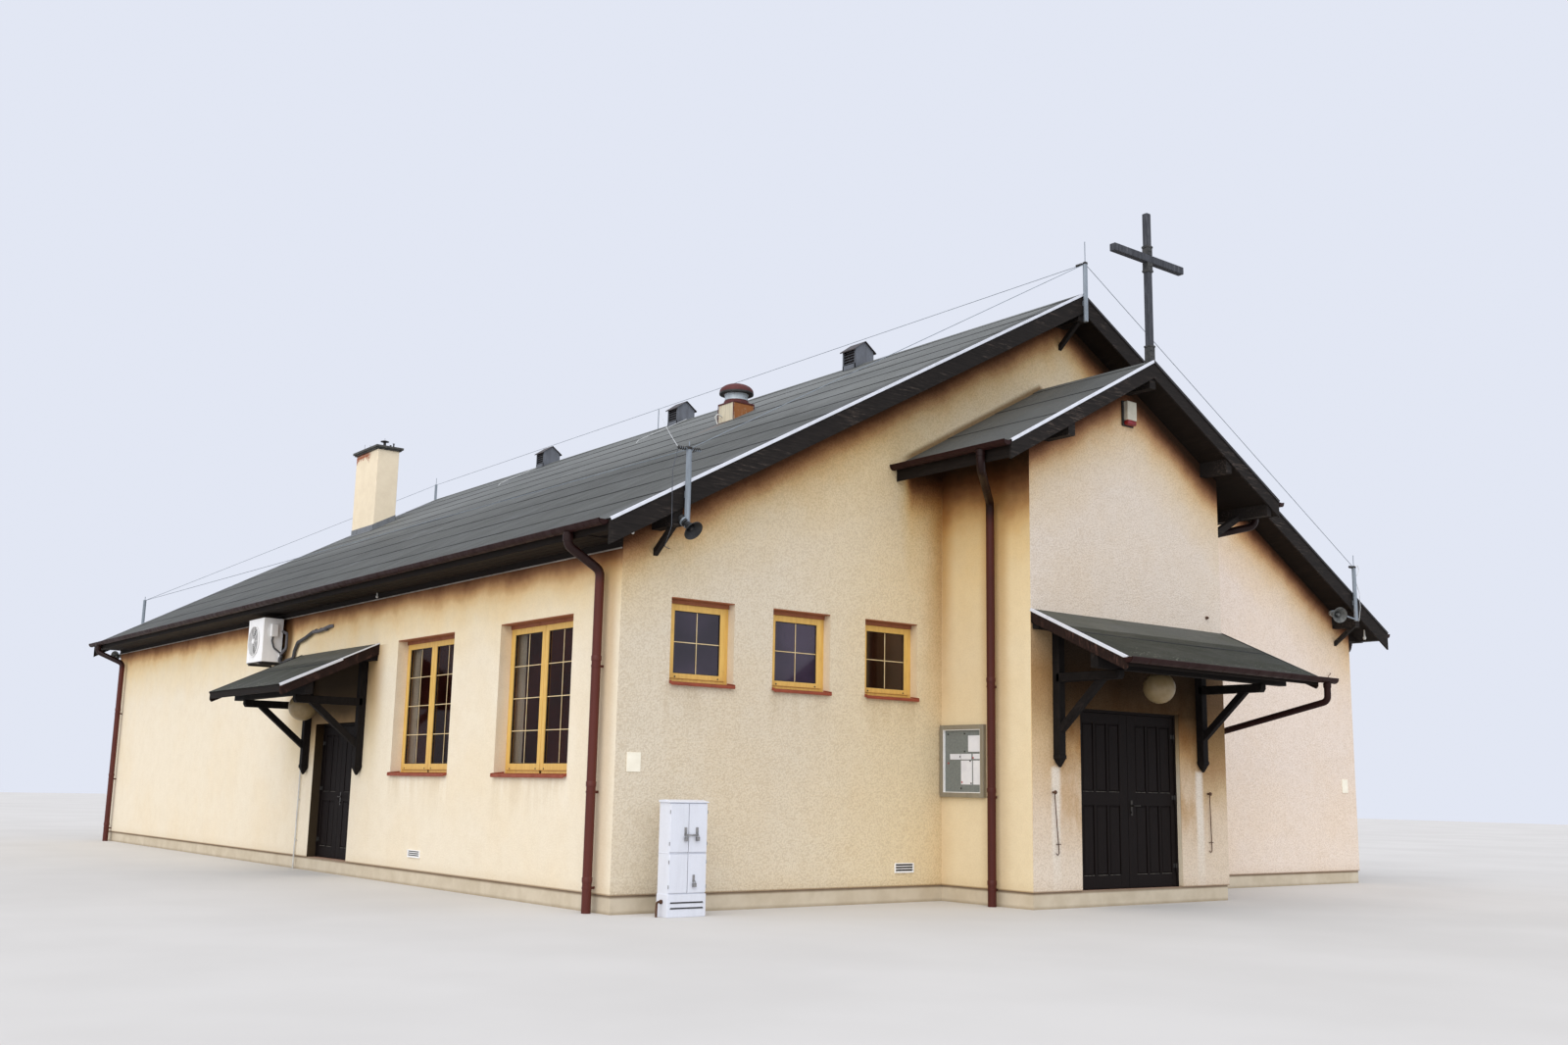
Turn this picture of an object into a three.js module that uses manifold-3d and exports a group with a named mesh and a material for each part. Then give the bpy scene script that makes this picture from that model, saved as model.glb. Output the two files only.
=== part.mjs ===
// Church hall with a gabled entrance porch, a timber cross and two bracketed door canopies.
// Millimetres, +Z up. While the pieces are made, X is 0 on the ridge line of the hall, Y is 0 on
// the face of the front gable wall and grows towards the rear, and Z is 0 on the ground. The whole
// group is then shifted so that the origin is the bottom centre of the bounding box.
import * as THREE from "three";
import { mergeVertices } from "three/addons/utils/BufferGeometryUtils.js";
import Module from "manifold-3d";

const wasm = await Module();
wasm.setup();

// Driving dimensions: hall
const GAP = 0.3;
const HALL_WIDTH = 15350;
const HALL_LENGTH = 21460;
const WALL = 400;
const FLOOR = 210;
const PLINTH_INSET = 20;
const SOFFIT = 4250;
const EAVE = 4380;
const RIDGE = 8875;
const EAVE_OUT = 484;
const VERGE_OUT = 480;
const REAR_VERGE_OUT = 440;
const ROOF_DEPTH = 220;
const BOARD_DEPTH = 295;
const BOARD = 30;
const RIDGE_PURLIN = { width: 180, bottom: 8450, braceFoot: 8085 };
const PLATE_PURLIN = { x: 7226, width: 130, bottom: 4415, braceFoot: 4100 };
const BRACE = 90;
const VERGE_BRACE = 65;

// Driving dimensions: porch
const PORCH_CENTRE = -472;
const PORCH_WIDTH = 4074;
const PORCH_DEPTH = 1624;
const PORCH_EAVE = 5782;
const PORCH_EAVE_OUT = 855;
const PORCH_VERGE_OUT = 484;
const PORCH_BOARD_DEPTH = 240;
const PORCH_ARCH_HEAD = 2810;
const PORCH_PURLIN = { width: 130, drop: 390, offsets: [-1710, 0, 1710] };
const PORCH_EAVE_BEAM = { from: 2620, to: 2720, bottom: 5540, braceY: -1550, braceFoot: 5190 };

// Driving dimensions: doors
const DOOR_CENTRE = -533;
const DOOR_WIDTH = 2086;
const DOOR_HEAD = 2545;
const DOOR_RECESS = 80;
const SIDE_DOOR_START = 7574;
const SIDE_DOOR_WIDTH = 1600;
const SIDE_DOOR_HEAD = 2310;
const SIDE_DOOR_RECESS = 150;
const LEAF = 60;
const FRAME = 35;
const FRAME_DEPTH = 150;
const DOOR_CLEARANCE = 6;
const HINGE_RADIUS = 10;
const HINGE_PROUD = 14;
const HINGE_HEIGHT = 60;

// Driving dimensions: windows
const SMALL_WINDOW = { width: 935, bottom: 2630, top: 3648, recess: 120 };
const SMALL_WINDOW_STARTS = [-6972, -5440, -3907];
const TALL_WINDOW = { width: 1860, bottom: 1527, top: 3473, recess: 150 };
const TALL_WINDOW_STARTS = [1070, 4290];
const WINDOW_DEPTH = 70;
const WINDOW_BAR = 95;
const PANE = 24;
const SILL_DROP = 35;
const SILL_OUT = 45;

// Driving dimensions: canopies
const CANOPY = {
  wallZ: 3770, edgeZ: 3067, out: 1535, slab: 90, board: 170,
  postFoot: 1765, armZ: 2850, armEnd: 1080, braceFoot: 2240, braceHead: 790,
};
const SIDE_CANOPY = {
  wallZ: 3475, edgeZ: 2779, out: 1469, slab: 90, board: 170,
  postFoot: 1505, armZ: 2545, armEnd: 1100, braceFoot: 1960, braceHead: 830,
};
const SIDE_CANOPY_START = 6831;
const SIDE_CANOPY_END = 10014;
const POST = 115;
const MAIN_POSTS = [-2050, 954];
const SIDE_POSTS = [7250, 9435];

// Driving dimensions: rainwater goods
const GUTTER_RADIUS = 65;
const GUTTER_WALL = 5;
const PIPE_RADIUS = 57;
const PIPE_OFF_WALL = 45;
const HALL_GUTTER_TOP = EAVE - 10;
const HALL_OUTLET_INSET = { front: 330, rear: 200 };
const HALL_PIPE_INSET = { front: 330, rear: 590 };
const HALL_CLIPS = [900, 2400, 3500];
const PORCH_GUTTER_TOP = PORCH_EAVE - 10;
const PORCH_OUTLET_Y = -1640;
const PORCH_PIPE_Y = -1015;
const PORCH_CLIPS = [900, 2400, 3900];
const CLIP = 30;
const CANOPY_GUTTER = { pastLeft: 60, pastRight: 288, drop: 12, elbow: 250, joint: 754, pipe: 45 };

// Driving dimensions: fixtures
const CHIMNEY = { x0: -2450, x1: -1890, y0: 20100, y1: 21450, top: 9600, capOut: 80, cap: 90 };
const CROSS = {
  x: -472, y: -2043, top: 9553, post: 88, armZ: 8877, arm: 1526, armHeight: 106, armDepth: 90,
  sleeve: 8, sleeveReach: 200,
};
const VENT_STARTS = [4520, 10100, 15670];
const VENT = { width: 430, length: 350, shoulder: 262, peak: 415, plate: 18, eave: 35 };
const FAN = { x: -2132, y: 5428, box: 436, boxTop: 7920, drum: 208, drumTop: 8090, cap: 296, top: 8285 };
const MAIN_LAMP = { out: 480, z: 2850, radius: 213 };
const SIDE_LAMP = { out: 540, z: 2540, radius: 215 };
const AC = { y0: 10860, y1: 11620, z0: 3390, z1: 4150, back: 60, front: 400, arm: 40 };
const CABINET = { x: -7275, width: 530, back: 330, front: 560, height: 1285, lid: 25 };
const NOTICEBOARD = { from: 830, to: 20, z0: 1360, z1: 2310, thickness: 60 };
const CURTAIN = { width: 270, from: 228, to: 268, hem: 1590 };

// Driving dimensions: lightning conductor. Its masts stand outside the barge boards.
const MAST_RADIUS = 35;
const MAST_OFF_BOARD = 42;
const MAST_CLAMP = { width: 44, height: 80 };
const ROD_RADIUS = 7;
const WIRE_RADIUS = 5;
const WIRE_BELOW_TOP = 10;
const FRONT_MASTS = [
  { x: -7146, foot: 4390, top: 5340, tip: 5420 },
  { x: 0, foot: 8434, top: 9358, tip: 9700 },
  { x: 7074, foot: 4510, top: 5460, tip: 5670 },
];
const REAR_MASTS = [
  { x: -7146, foot: 4390, top: 5500, tip: 5580 },
  { x: 0, foot: 8434, top: 9300, tip: 9480 },
];
const RIDGE_STAY = { y: 11130, top: 9330 };
const INSULATOR_BAR = { reach: 160, radius: 15 };

const slope = (RIDGE - EAVE) / (HALL_WIDTH / 2 + EAVE_OUT);
const halfWidth = HALL_WIDTH / 2;
const porchLeft = PORCH_CENTRE - PORCH_WIDTH / 2;
const porchRight = PORCH_CENTRE + PORCH_WIDTH / 2;
const porchRidge = PORCH_EAVE + slope * (PORCH_WIDTH / 2 + PORCH_EAVE_OUT);
const doorLeft = DOOR_CENTRE - DOOR_WIDTH / 2;
const doorRight = DOOR_CENTRE + DOOR_WIDTH / 2;
const sideDoorEnd = SIDE_DOOR_START + SIDE_DOOR_WIDTH;
const hallReach = halfWidth + EAVE_OUT;
const porchReach = PORCH_WIDTH / 2 + PORCH_EAVE_OUT;
const rearVerge = HALL_LENGTH + REAR_VERGE_OUT;
const rearFace = HALL_LENGTH - WALL;
const porchVerge = -PORCH_DEPTH - PORCH_VERGE_OUT;
const porchWallTop = PORCH_EAVE + slope * PORCH_EAVE_OUT - ROOF_DEPTH - GAP;
const hingeX = FRAME + DOOR_CLEARANCE + HINGE_RADIUS;

const hallRoofTop = (x) => RIDGE - slope * Math.abs(x);
const porchRoofTop = (x) => porchRidge - slope * Math.abs(x - PORCH_CENTRE);

// Materials
const material = (color, roughness, metalness = 0) =>
  new THREE.MeshStandardMaterial({ color, roughness, metalness });
const materials = {
  render: material(0xdccaa6, 0.95),
  concrete: material(0xb8aa90, 0.95),
  felt: material(0x4b4d4b, 0.9),
  timber: material(0x2a2522, 0.85),
  door: material(0x241c1a, 0.7),
  window: material(0xd7a648, 0.6),
  copper: material(0x6b2f27, 0.5, 0.2),
  zinc: material(0xa9acb0, 0.45, 0.7),
  white: material(0xe6e6e2, 0.6),
  opal: material(0xd8d0bd, 0.4),
  cloth: material(0xbcae90, 0.95),
};

// Shape helpers
function toSolid(geometry) {
  const bare = geometry.clone();
  bare.deleteAttribute("normal");
  bare.deleteAttribute("uv");
  const merged = mergeVertices(bare, 1e-3);
  const mesh = new wasm.Mesh({
    numProp: 3,
    vertProperties: new Float32Array(merged.attributes.position.array),
    triVerts: new Uint32Array(merged.index.array),
  });
  return new wasm.Manifold(mesh);
}

function toGeometry(solid) {
  const mesh = solid.getMesh();
  const geometry = new THREE.BufferGeometry();
  geometry.setAttribute("position", new THREE.BufferAttribute(new Float32Array(mesh.vertProperties), 3));
  geometry.setIndex(new THREE.BufferAttribute(new Uint32Array(mesh.triVerts), 1));
  geometry.computeVertexNormals();
  return geometry;
}

function join(...geometries) {
  const solids = geometries.map(toSolid);
  return toGeometry(solids.reduce((sum, solid) => sum.add(solid)));
}

function cut(geometry, ...tools) {
  const solids = tools.map(toSolid);
  return toGeometry(solids.reduce((rest, solid) => rest.subtract(solid), toSolid(geometry)));
}

function box(x0, y0, z0, x1, y1, z1) {
  const geometry = new THREE.BoxGeometry(x1 - x0, y1 - y0, z1 - z0);
  return geometry.translate((x0 + x1) / 2, (y0 + y1) / 2, (z0 + z1) / 2);
}

function outline(points) {
  const shape = new THREE.Shape();
  points.forEach(([a, b], i) => (i ? shape.lineTo(a, b) : shape.moveTo(a, b)));
  shape.closePath();
  return shape;
}

const flat = (shape, depth) => new THREE.ExtrudeGeometry(shape, { depth, bevelEnabled: false });

// A prism from an outline of [x, z] points between two Y planes
function prismY(points, y0, y1) {
  const basis = new THREE.Matrix4().makeBasis(
    new THREE.Vector3(1, 0, 0), new THREE.Vector3(0, 0, 1), new THREE.Vector3(0, -1, 0));
  return flat(outline(points), y1 - y0).applyMatrix4(basis).translate(0, y1, 0);
}

// A prism from an outline of [y, z] points between two X planes
function prismX(points, x0, x1) {
  const basis = new THREE.Matrix4().makeBasis(
    new THREE.Vector3(0, 1, 0), new THREE.Vector3(0, 0, 1), new THREE.Vector3(1, 0, 0));
  return flat(outline(points), x1 - x0).applyMatrix4(basis).translate(x0, 0, 0);
}

// A prism from an outline of [x, y] points between two heights
function prismZ(points, z0, z1) {
  return flat(outline(points), z1 - z0).translate(0, 0, z0);
}

// A round rod between two points
function rod(from, to, radius, sides = 12) {
  const start = new THREE.Vector3(...from);
  const end = new THREE.Vector3(...to);
  const along = end.clone().sub(start);
  const geometry = new THREE.CylinderGeometry(radius, radius, along.length(), sides);
  const up = new THREE.Vector3(0, 1, 0);
  geometry.applyQuaternion(new THREE.Quaternion().setFromUnitVectors(up, along.clone().normalize()));
  return geometry.translate(...start.add(end).multiplyScalar(0.5).toArray());
}

// A round pipe through a list of points, with a ball at each bend
function pipe(points, radius, sides = 12) {
  const runs = points.slice(1).map((point, i) => rod(points[i], point, radius, sides));
  const bends = points.slice(1, -1).map((point) =>
    new THREE.SphereGeometry(radius, sides, sides / 2).translate(...point));
  return join(...runs, ...bends);
}

// A square bar between two points, with its sides square to the X or Y axis
function bar(from, to, width, across) {
  const start = new THREE.Vector3(...from);
  const end = new THREE.Vector3(...to);
  const along = end.clone().sub(start);
  const geometry = new THREE.BoxGeometry(width, width, along.length());
  const zAxis = along.clone().normalize();
  const xAxis = new THREE.Vector3(...across);
  const yAxis = zAxis.clone().cross(xAxis);
  geometry.applyMatrix4(new THREE.Matrix4().makeBasis(xAxis, yAxis, zAxis));
  return geometry.translate(...start.add(end).multiplyScalar(0.5).toArray());
}

const church = new THREE.Group();

function add(name, geometry, finish) {
  const mesh = new THREE.Mesh(geometry, finish);
  mesh.name = name;
  church.add(mesh);
}

// Floor slab: its edge is the low plinth under the walls
function groundSlab() {
  const x = halfWidth - PLINTH_INSET;
  const front = PLINTH_INSET;
  const rear = HALL_LENGTH - PLINTH_INSET;
  const porchFront = -PORCH_DEPTH + PLINTH_INSET;
  const left = porchLeft + PLINTH_INSET;
  const right = porchRight - PLINTH_INSET;
  return prismZ([
    [-x, front], [left, front], [left, porchFront], [right, porchFront],
    [right, front], [x, front], [x, rear], [-x, rear],
  ], 0, FLOOR);
}

// Underside of the hall roof over a point of the gable walls, less the gap
const gableTop = (x) => hallRoofTop(x) - ROOF_DEPTH - GAP;

function gablePart(x0, x1, z0, y0, y1) {
  const points = [[x0, z0], [x1, z0], [x1, gableTop(x1)]];
  if (x0 < 0 && x1 > 0) points.push([0, gableTop(0)]);
  points.push([x0, gableTop(x0)]);
  return prismY(points, y0, y1);
}

function frontWallLeft() {
  const holes = SMALL_WINDOW_STARTS.map((x) =>
    box(x, -1, SMALL_WINDOW.bottom, x + SMALL_WINDOW.width, WALL + 1, SMALL_WINDOW.top));
  return cut(gablePart(-halfWidth, porchLeft, FLOOR, 0, WALL), ...holes);
}

function sideWall(side, y0, y1, z0, windowStarts) {
  const outer = side * halfWidth;
  const inner = side * (halfWidth - WALL);
  const wall = box(Math.min(outer, inner), y0, z0, Math.max(outer, inner), y1, SOFFIT - GAP);
  if (!windowStarts.length) return wall;
  const holes = windowStarts.map((y) => box(
    Math.min(outer, inner) - 1, y, TALL_WINDOW.bottom,
    Math.max(outer, inner) + 1, y + TALL_WINDOW.width, TALL_WINDOW.top));
  return cut(wall, ...holes);
}

// Porch side wall with its return beside the doorway
function porchSideWall(side) {
  const outer = side < 0 ? porchLeft : porchRight;
  const jamb = side < 0 ? doorLeft : doorRight;
  const inner = outer - side * WALL;
  const y = -PORCH_DEPTH;
  const plan = [[outer, 0], [outer, y], [jamb, y], [jamb, y + WALL], [inner, y + WALL], [inner, 0]];
  const outwards = side < 0 ? plan : plan.slice().reverse();
  return prismZ(outwards, FLOOR, porchWallTop);
}

// Porch gable over the doorway, between and above the returns
function porchGable() {
  const top = (x) => porchRoofTop(x) - ROOF_DEPTH - GAP;
  return prismY([
    [doorLeft, DOOR_HEAD], [doorRight, DOOR_HEAD], [doorRight, porchWallTop], [porchRight, porchWallTop],
    [PORCH_CENTRE, top(PORCH_CENTRE)], [porchLeft, porchWallTop], [doorLeft, porchWallTop],
  ], -PORCH_DEPTH, -PORCH_DEPTH + WALL);
}

// One slope of the hall roof, boxed in over the side wall's head and, between the gables, outside it
function hallRoof(side) {
  const x = (value) => side * value;
  const turned = (points) => (side > 0 ? points.reverse() : points);
  const underside = (value) => hallRoofTop(value) - ROOF_DEPTH;
  const soffitEdge = (RIDGE - ROOF_DEPTH - SOFFIT) / slope;
  const inner = halfWidth - WALL;
  const outer = halfWidth + GAP;
  const y0 = -VERGE_OUT + BOARD;
  const y1 = rearVerge - BOARD;
  const slab = prismY(turned([
    [x(0), RIDGE], [x(0), RIDGE - ROOF_DEPTH], [x(soffitEdge), SOFFIT],
    [x(hallReach), SOFFIT], [x(hallReach), EAVE],
  ]), y0, y1);
  const outside = prismY(turned([
    [x(outer), underside(outer) + 1], [x(outer), SOFFIT], [x(soffitEdge + 1), SOFFIT],
  ]), 0, HALL_LENGTH);
  const overWall = prismY(turned([
    [x(inner), underside(inner) + 1], [x(inner), SOFFIT], [x(soffitEdge + 1), SOFFIT],
  ]), WALL + GAP, rearFace - GAP);
  return join(slab, outside, overWall);
}

function porchRoof(side) {
  const x = (value) => PORCH_CENTRE + side * value;
  const points = [
    [x(0), porchRidge], [x(0), porchRidge - ROOF_DEPTH],
    [x(porchReach), PORCH_EAVE - ROOF_DEPTH], [x(porchReach), PORCH_EAVE],
  ];
  return prismY(side > 0 ? points.reverse() : points, porchVerge + BOARD, -GAP);
}

// Two sloping boards that meet at an apex, each with upright ends
function chevron(centre, reach, apex, fall, depth, y0, y1) {
  const foot = apex - fall * reach;
  return prismY([
    [centre - reach, foot], [centre - reach, foot - depth], [centre, apex - depth],
    [centre + reach, foot - depth], [centre + reach, foot], [centre, apex],
  ], y0, y1);
}

// A purlin end with its top cut to the underside of the roof
function purlinEnd(x, width, bottom, top, y0, y1) {
  const left = x - width / 2;
  const right = x + width / 2;
  return prismY([
    [left, bottom], [right, bottom], [right, top(right)], [x, top(x)], [left, top(left)],
  ], y0, y1);
}

// Knee brace in front of a gable wall, up to the purlin end at x
function vergeBrace({ width, bottom, braceFoot }, x, reach) {
  const head = [x, VERGE_BRACE - reach, bottom + VERGE_BRACE / 2];
  const brace = bar([x, VERGE_BRACE, braceFoot], head, VERGE_BRACE, [1, 0, 0]);
  const behindFace = box(x - width, -GAP, braceFoot - 2 * BRACE, x + width, 3 * BRACE, bottom);
  return cut(brace, behindFace);
}

// Barge boards of the hall with their purlin ends and knee braces, as at the front gable
function hallVerge(out) {
  const reach = out - BOARD;
  const top = (x) => hallRoofTop(x) - ROOF_DEPTH - GAP;
  const timbers = [chevron(0, hallReach, RIDGE, slope, BOARD_DEPTH, -out, -reach)];
  const { x: plateX } = PLATE_PURLIN;
  for (const [purlin, x] of [[RIDGE_PURLIN, 0], [PLATE_PURLIN, -plateX], [PLATE_PURLIN, plateX]]) {
    timbers.push(purlinEnd(x, purlin.width, purlin.bottom, top, -reach - 1, -GAP));
    timbers.push(vergeBrace(purlin, x, reach));
  }
  return join(...timbers);
}

// The same timbers turned to face the rear
function rearVergeTimbers() {
  return hallVerge(REAR_VERGE_OUT).rotateZ(Math.PI).translate(0, HALL_LENGTH, 0);
}

// Barge boards of the porch, purlin ends, and an eave beam with its brace on the right
function porchVergeTimbers() {
  const under = (x) => porchRoofTop(x) - ROOF_DEPTH - GAP;
  const inside = porchVerge + BOARD;
  const timbers = [
    chevron(PORCH_CENTRE, porchReach, porchRidge, slope, PORCH_BOARD_DEPTH, porchVerge, inside),
  ];
  for (const offset of PORCH_PURLIN.offsets) {
    const x = PORCH_CENTRE + offset;
    const bottom = porchRoofTop(x) - PORCH_PURLIN.drop;
    timbers.push(purlinEnd(x, PORCH_PURLIN.width, bottom, under, inside - 1, -PORCH_DEPTH - GAP));
  }
  const { from, to, bottom, braceY, braceFoot } = PORCH_EAVE_BEAM;
  const x = PORCH_CENTRE + (from + to) / 2;
  timbers.push(purlinEnd(x, to - from, bottom, under, inside - 1, -GAP));
  const foot = [porchRight - BRACE, braceY, braceFoot];
  const brace = bar(foot, [x, braceY, bottom + BRACE / 2], BRACE, [0, 1, 0]);
  const behindFace = box(
    porchRight - WALL, braceY - BRACE, braceFoot - 2 * BRACE, porchRight + GAP, braceY + BRACE, bottom);
  return join(...timbers, cut(brace, behindFace));
}

// Half-round gutter along Y with closed ends, its back edge at x
function gutter(x, side, top, y0, y1) {
  const centre = x + side * (GUTTER_RADIUS + GAP);
  const halfRound = (radius, from, to) => {
    const shape = new THREE.Shape();
    shape.absarc(centre, top, radius, Math.PI, 2 * Math.PI, false);
    shape.closePath();
    const points = shape.getPoints(6).map((point) => [point.x, point.y]);
    return prismY(points, from, to);
  };
  const trough = halfRound(GUTTER_RADIUS - GUTTER_WALL, y0 + GUTTER_WALL, y1 - GUTTER_WALL);
  const mouth = box(
    centre - GUTTER_RADIUS + GUTTER_WALL, y0 + GUTTER_WALL, top - 1,
    centre + GUTTER_RADIUS - GUTTER_WALL, y1 - GUTTER_WALL, top + 1);
  return cut(halfRound(GUTTER_RADIUS, y0, y1), trough, mouth);
}

// Downpipe of the hall: outlet under the gutter, swan neck, then down the side wall
function hallDownpipe(side, y, outletY) {
  const outletX = side * (hallReach + GUTTER_RADIUS + GAP);
  const wallX = side * (halfWidth + PIPE_OFF_WALL + PIPE_RADIUS);
  const outletZ = HALL_GUTTER_TOP - GUTTER_RADIUS - GAP;
  const run = pipe([
    [outletX, outletY, outletZ], [outletX, outletY, outletZ - 130],
    [wallX, y, outletZ - 400], [wallX, y, 0],
  ], PIPE_RADIUS);
  return join(run, ...HALL_CLIPS.map((z) => pipeClip(side * (halfWidth + GAP), wallX, y, z)));
}

// Pipe clip from the wall face to the middle of the pipe
function pipeClip(wallX, pipeX, y, z) {
  const half = CLIP / 2;
  return box(Math.min(wallX, pipeX), y - half, z - half, Math.max(wallX, pipeX), y + half, z + half);
}

// Porch gutter with its own downpipe on the porch side wall
function porchGutter(side) {
  const edge = PORCH_CENTRE + side * porchReach;
  const wall = PORCH_CENTRE + side * PORCH_WIDTH / 2;
  const trough = gutter(edge, side, PORCH_GUTTER_TOP, porchVerge, -GAP);
  const outletX = edge + side * (GUTTER_RADIUS + GAP);
  const wallX = wall + side * (PIPE_OFF_WALL + PIPE_RADIUS);
  const under = PORCH_GUTTER_TOP - GUTTER_RADIUS + 4;
  const run = pipe([
    [outletX, PORCH_OUTLET_Y, under], [outletX, PORCH_OUTLET_Y, under - 235],
    [wallX, PORCH_PIPE_Y, under - 480], [wallX, PORCH_PIPE_Y, 0],
  ], PIPE_RADIUS);
  return join(trough, run, ...PORCH_CLIPS.map((z) => pipeClip(wall + side * GAP, wallX, PORCH_PIPE_Y, z)));
}

// Gutter along the main canopy, with a pipe back to the porch's right downpipe
function canopyGutter() {
  const top = CANOPY.edgeZ - CANOPY_GUTTER.drop;
  const x0 = porchLeft - CANOPY_GUTTER.pastLeft;
  const x1 = porchRight + CANOPY_GUTTER.pastRight;
  const edgeY = -PORCH_DEPTH - CANOPY.out;
  const trough = gutter(0, -1, top, -x1, -x0).rotateZ(Math.PI / 2).translate(0, edgeY, 0);
  const outletY = edgeY - GAP - GUTTER_RADIUS;
  const pipeX = porchRight + PIPE_OFF_WALL + PIPE_RADIUS;
  const under = top - GUTTER_RADIUS + 4;
  const jointZ = under - CANOPY_GUTTER.joint;
  const run = pipe([
    [pipeX, outletY, under], [pipeX, outletY, under - CANOPY_GUTTER.elbow], [pipeX, PORCH_PIPE_Y, jointZ],
  ], CANOPY_GUTTER.pipe);
  const downpipe = rod([pipeX, PORCH_PIPE_Y, 0], [pipeX, PORCH_PIPE_Y, under], PIPE_RADIUS + GAP);
  const beyond = box(pipeX - POST, PORCH_PIPE_Y, 0, pipeX + POST, 0, under);
  return join(trough, cut(run, downpipe, beyond));
}

// Window unit: frame, middle post on the wide one, pane and sloping sill.
// It is made in its own frame: x across, y inwards from the wall face, z up.
function windowUnit(spec, casements) {
  const x0 = GAP;
  const x1 = spec.width - GAP;
  const z0 = spec.bottom + GAP;
  const z1 = spec.top - GAP;
  const y0 = spec.recess;
  const y1 = spec.recess + WINDOW_DEPTH;
  const paneY = (y0 + y1 - PANE) / 2;
  const pieces = [
    box(x0, y0, z0, x0 + WINDOW_BAR, y1, z1),
    box(x1 - WINDOW_BAR, y0, z0, x1, y1, z1),
    box(x0, y0, z1 - WINDOW_BAR, x1, y1, z1),
    box(x0, y0, z0, x1, y1, z0 + SILL_DROP + WINDOW_BAR),
    box(x0 + 1, paneY, z0 + 1, x1 - 1, paneY + PANE, z1 - 1),
  ];
  for (let i = 1; i < casements; i += 1) {
    const middle = x0 + (x1 - x0) * i / casements;
    pieces.push(box(middle - WINDOW_BAR / 2, y0, z0, middle + WINDOW_BAR / 2, y1, z1));
  }
  const sill = prismX([
    [-SILL_OUT, z0], [y0 + 1, z0], [y0 + 1, z0 + SILL_DROP], [-SILL_OUT, z0 + 12],
  ], x0, x1);
  return join(...pieces, sill);
}

const onLeft = new THREE.Matrix4().makeRotationZ(-Math.PI / 2);
const onRight = new THREE.Matrix4().makeRotationZ(Math.PI / 2);

function tallWindow(side, start) {
  const unit = windowUnit(TALL_WINDOW, 2);
  if (side < 0) return unit.applyMatrix4(onLeft).translate(-halfWidth, start + TALL_WINDOW.width, 0);
  return unit.applyMatrix4(onRight).translate(halfWidth, start, 0);
}

// Hinged double door in its own frame: x across the opening from its left jamb, y inwards from the
// outer face of the leaves, z up. The frame carries the lower knuckles, the leaves the upper ones.
const hingeHeights = (head) => [FLOOR + 250, (FLOOR + head) / 2, head - FRAME - 300];

function doorFrame(width, head) {
  const y0 = -10;
  const y1 = y0 + FRAME_DEPTH;
  const z0 = FLOOR + GAP;
  const z1 = head - GAP;
  const pieces = [
    box(GAP, y0, z0, FRAME, y1, z1),
    box(width - FRAME, y0, z0, width - GAP, y1, z1),
    box(GAP, y0, z1 - FRAME, width - GAP, y1, z1),
  ];
  for (const z of hingeHeights(head)) {
    for (const x of [hingeX, width - hingeX]) {
      const jamb = x < width / 2 ? FRAME - 1 : width - FRAME + 1;
      pieces.push(rod([x, -HINGE_PROUD, z - HINGE_HEIGHT], [x, -HINGE_PROUD, z], HINGE_RADIUS));
      pieces.push(box(
        Math.min(x, jamb), -HINGE_PROUD - 4, z - HINGE_HEIGHT, Math.max(x, jamb), -HINGE_PROUD + 4, z));
      pieces.push(box(
        Math.min(jamb, jamb < width / 2 ? 10 : width - 10), -HINGE_PROUD - 4, z - HINGE_HEIGHT,
        Math.max(jamb, jamb < width / 2 ? 10 : width - 10), 0, z));
    }
  }
  return join(...pieces);
}

function doorLeaf(width, head, atRight) {
  const inner = width / 2;
  const x0 = FRAME + DOOR_CLEARANCE;
  const x1 = inner - DOOR_CLEARANCE / 2;
  const z0 = FLOOR + DOOR_CLEARANCE + 2;
  const z1 = head - FRAME - DOOR_CLEARANCE;
  const pieces = [box(x0, 0, z0, x1, LEAF, z1)];
  for (const z of hingeHeights(head)) {
    pieces.push(rod([hingeX, -HINGE_PROUD, z + GAP], [hingeX, -HINGE_PROUD, z + HINGE_HEIGHT], HINGE_RADIUS));
    pieces.push(box(hingeX - 4, -HINGE_PROUD, z + GAP, hingeX + 4, 1, z + HINGE_HEIGHT));
  }
  const leaf = join(...pieces);
  if (!atRight) return leaf;
  return mirrored(leaf, inner);
}

function mirrored(geometry, middle) {
  const solid = toSolid(geometry).mirror([1, 0, 0]);
  return toGeometry(solid).translate(2 * middle, 0, 0);
}

const mainDoorPlace = (geometry) => geometry.translate(doorLeft, -PORCH_DEPTH + DOOR_RECESS, 0);
const sideDoorPlace = (geometry) =>
  geometry.applyMatrix4(onLeft).translate(-halfWidth + SIDE_DOOR_RECESS, sideDoorEnd, 0);

// Canopy in its own frame: x along the wall, y is 0 on the wall and negative outwards
function canopyRoof(spec, x0, x1) {
  const fall = (spec.wallZ - spec.edgeZ) / spec.out;
  const under = (y) => spec.wallZ + fall * y;
  const slab = prismX([
    [-spec.out, spec.edgeZ], [-spec.out, spec.edgeZ - spec.slab],
    [-GAP, spec.wallZ - spec.slab], [-GAP, spec.wallZ],
  ], x0, x1);
  const boards = [x0, x1 - BOARD].map((x) => prismX([
    [-spec.out, under(-spec.out) - 1], [-spec.out, under(-spec.out) - spec.board],
    [-GAP, under(0) - spec.board], [-GAP, under(0) - 1],
  ], x, x + BOARD));
  return join(slab, ...boards);
}

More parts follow.
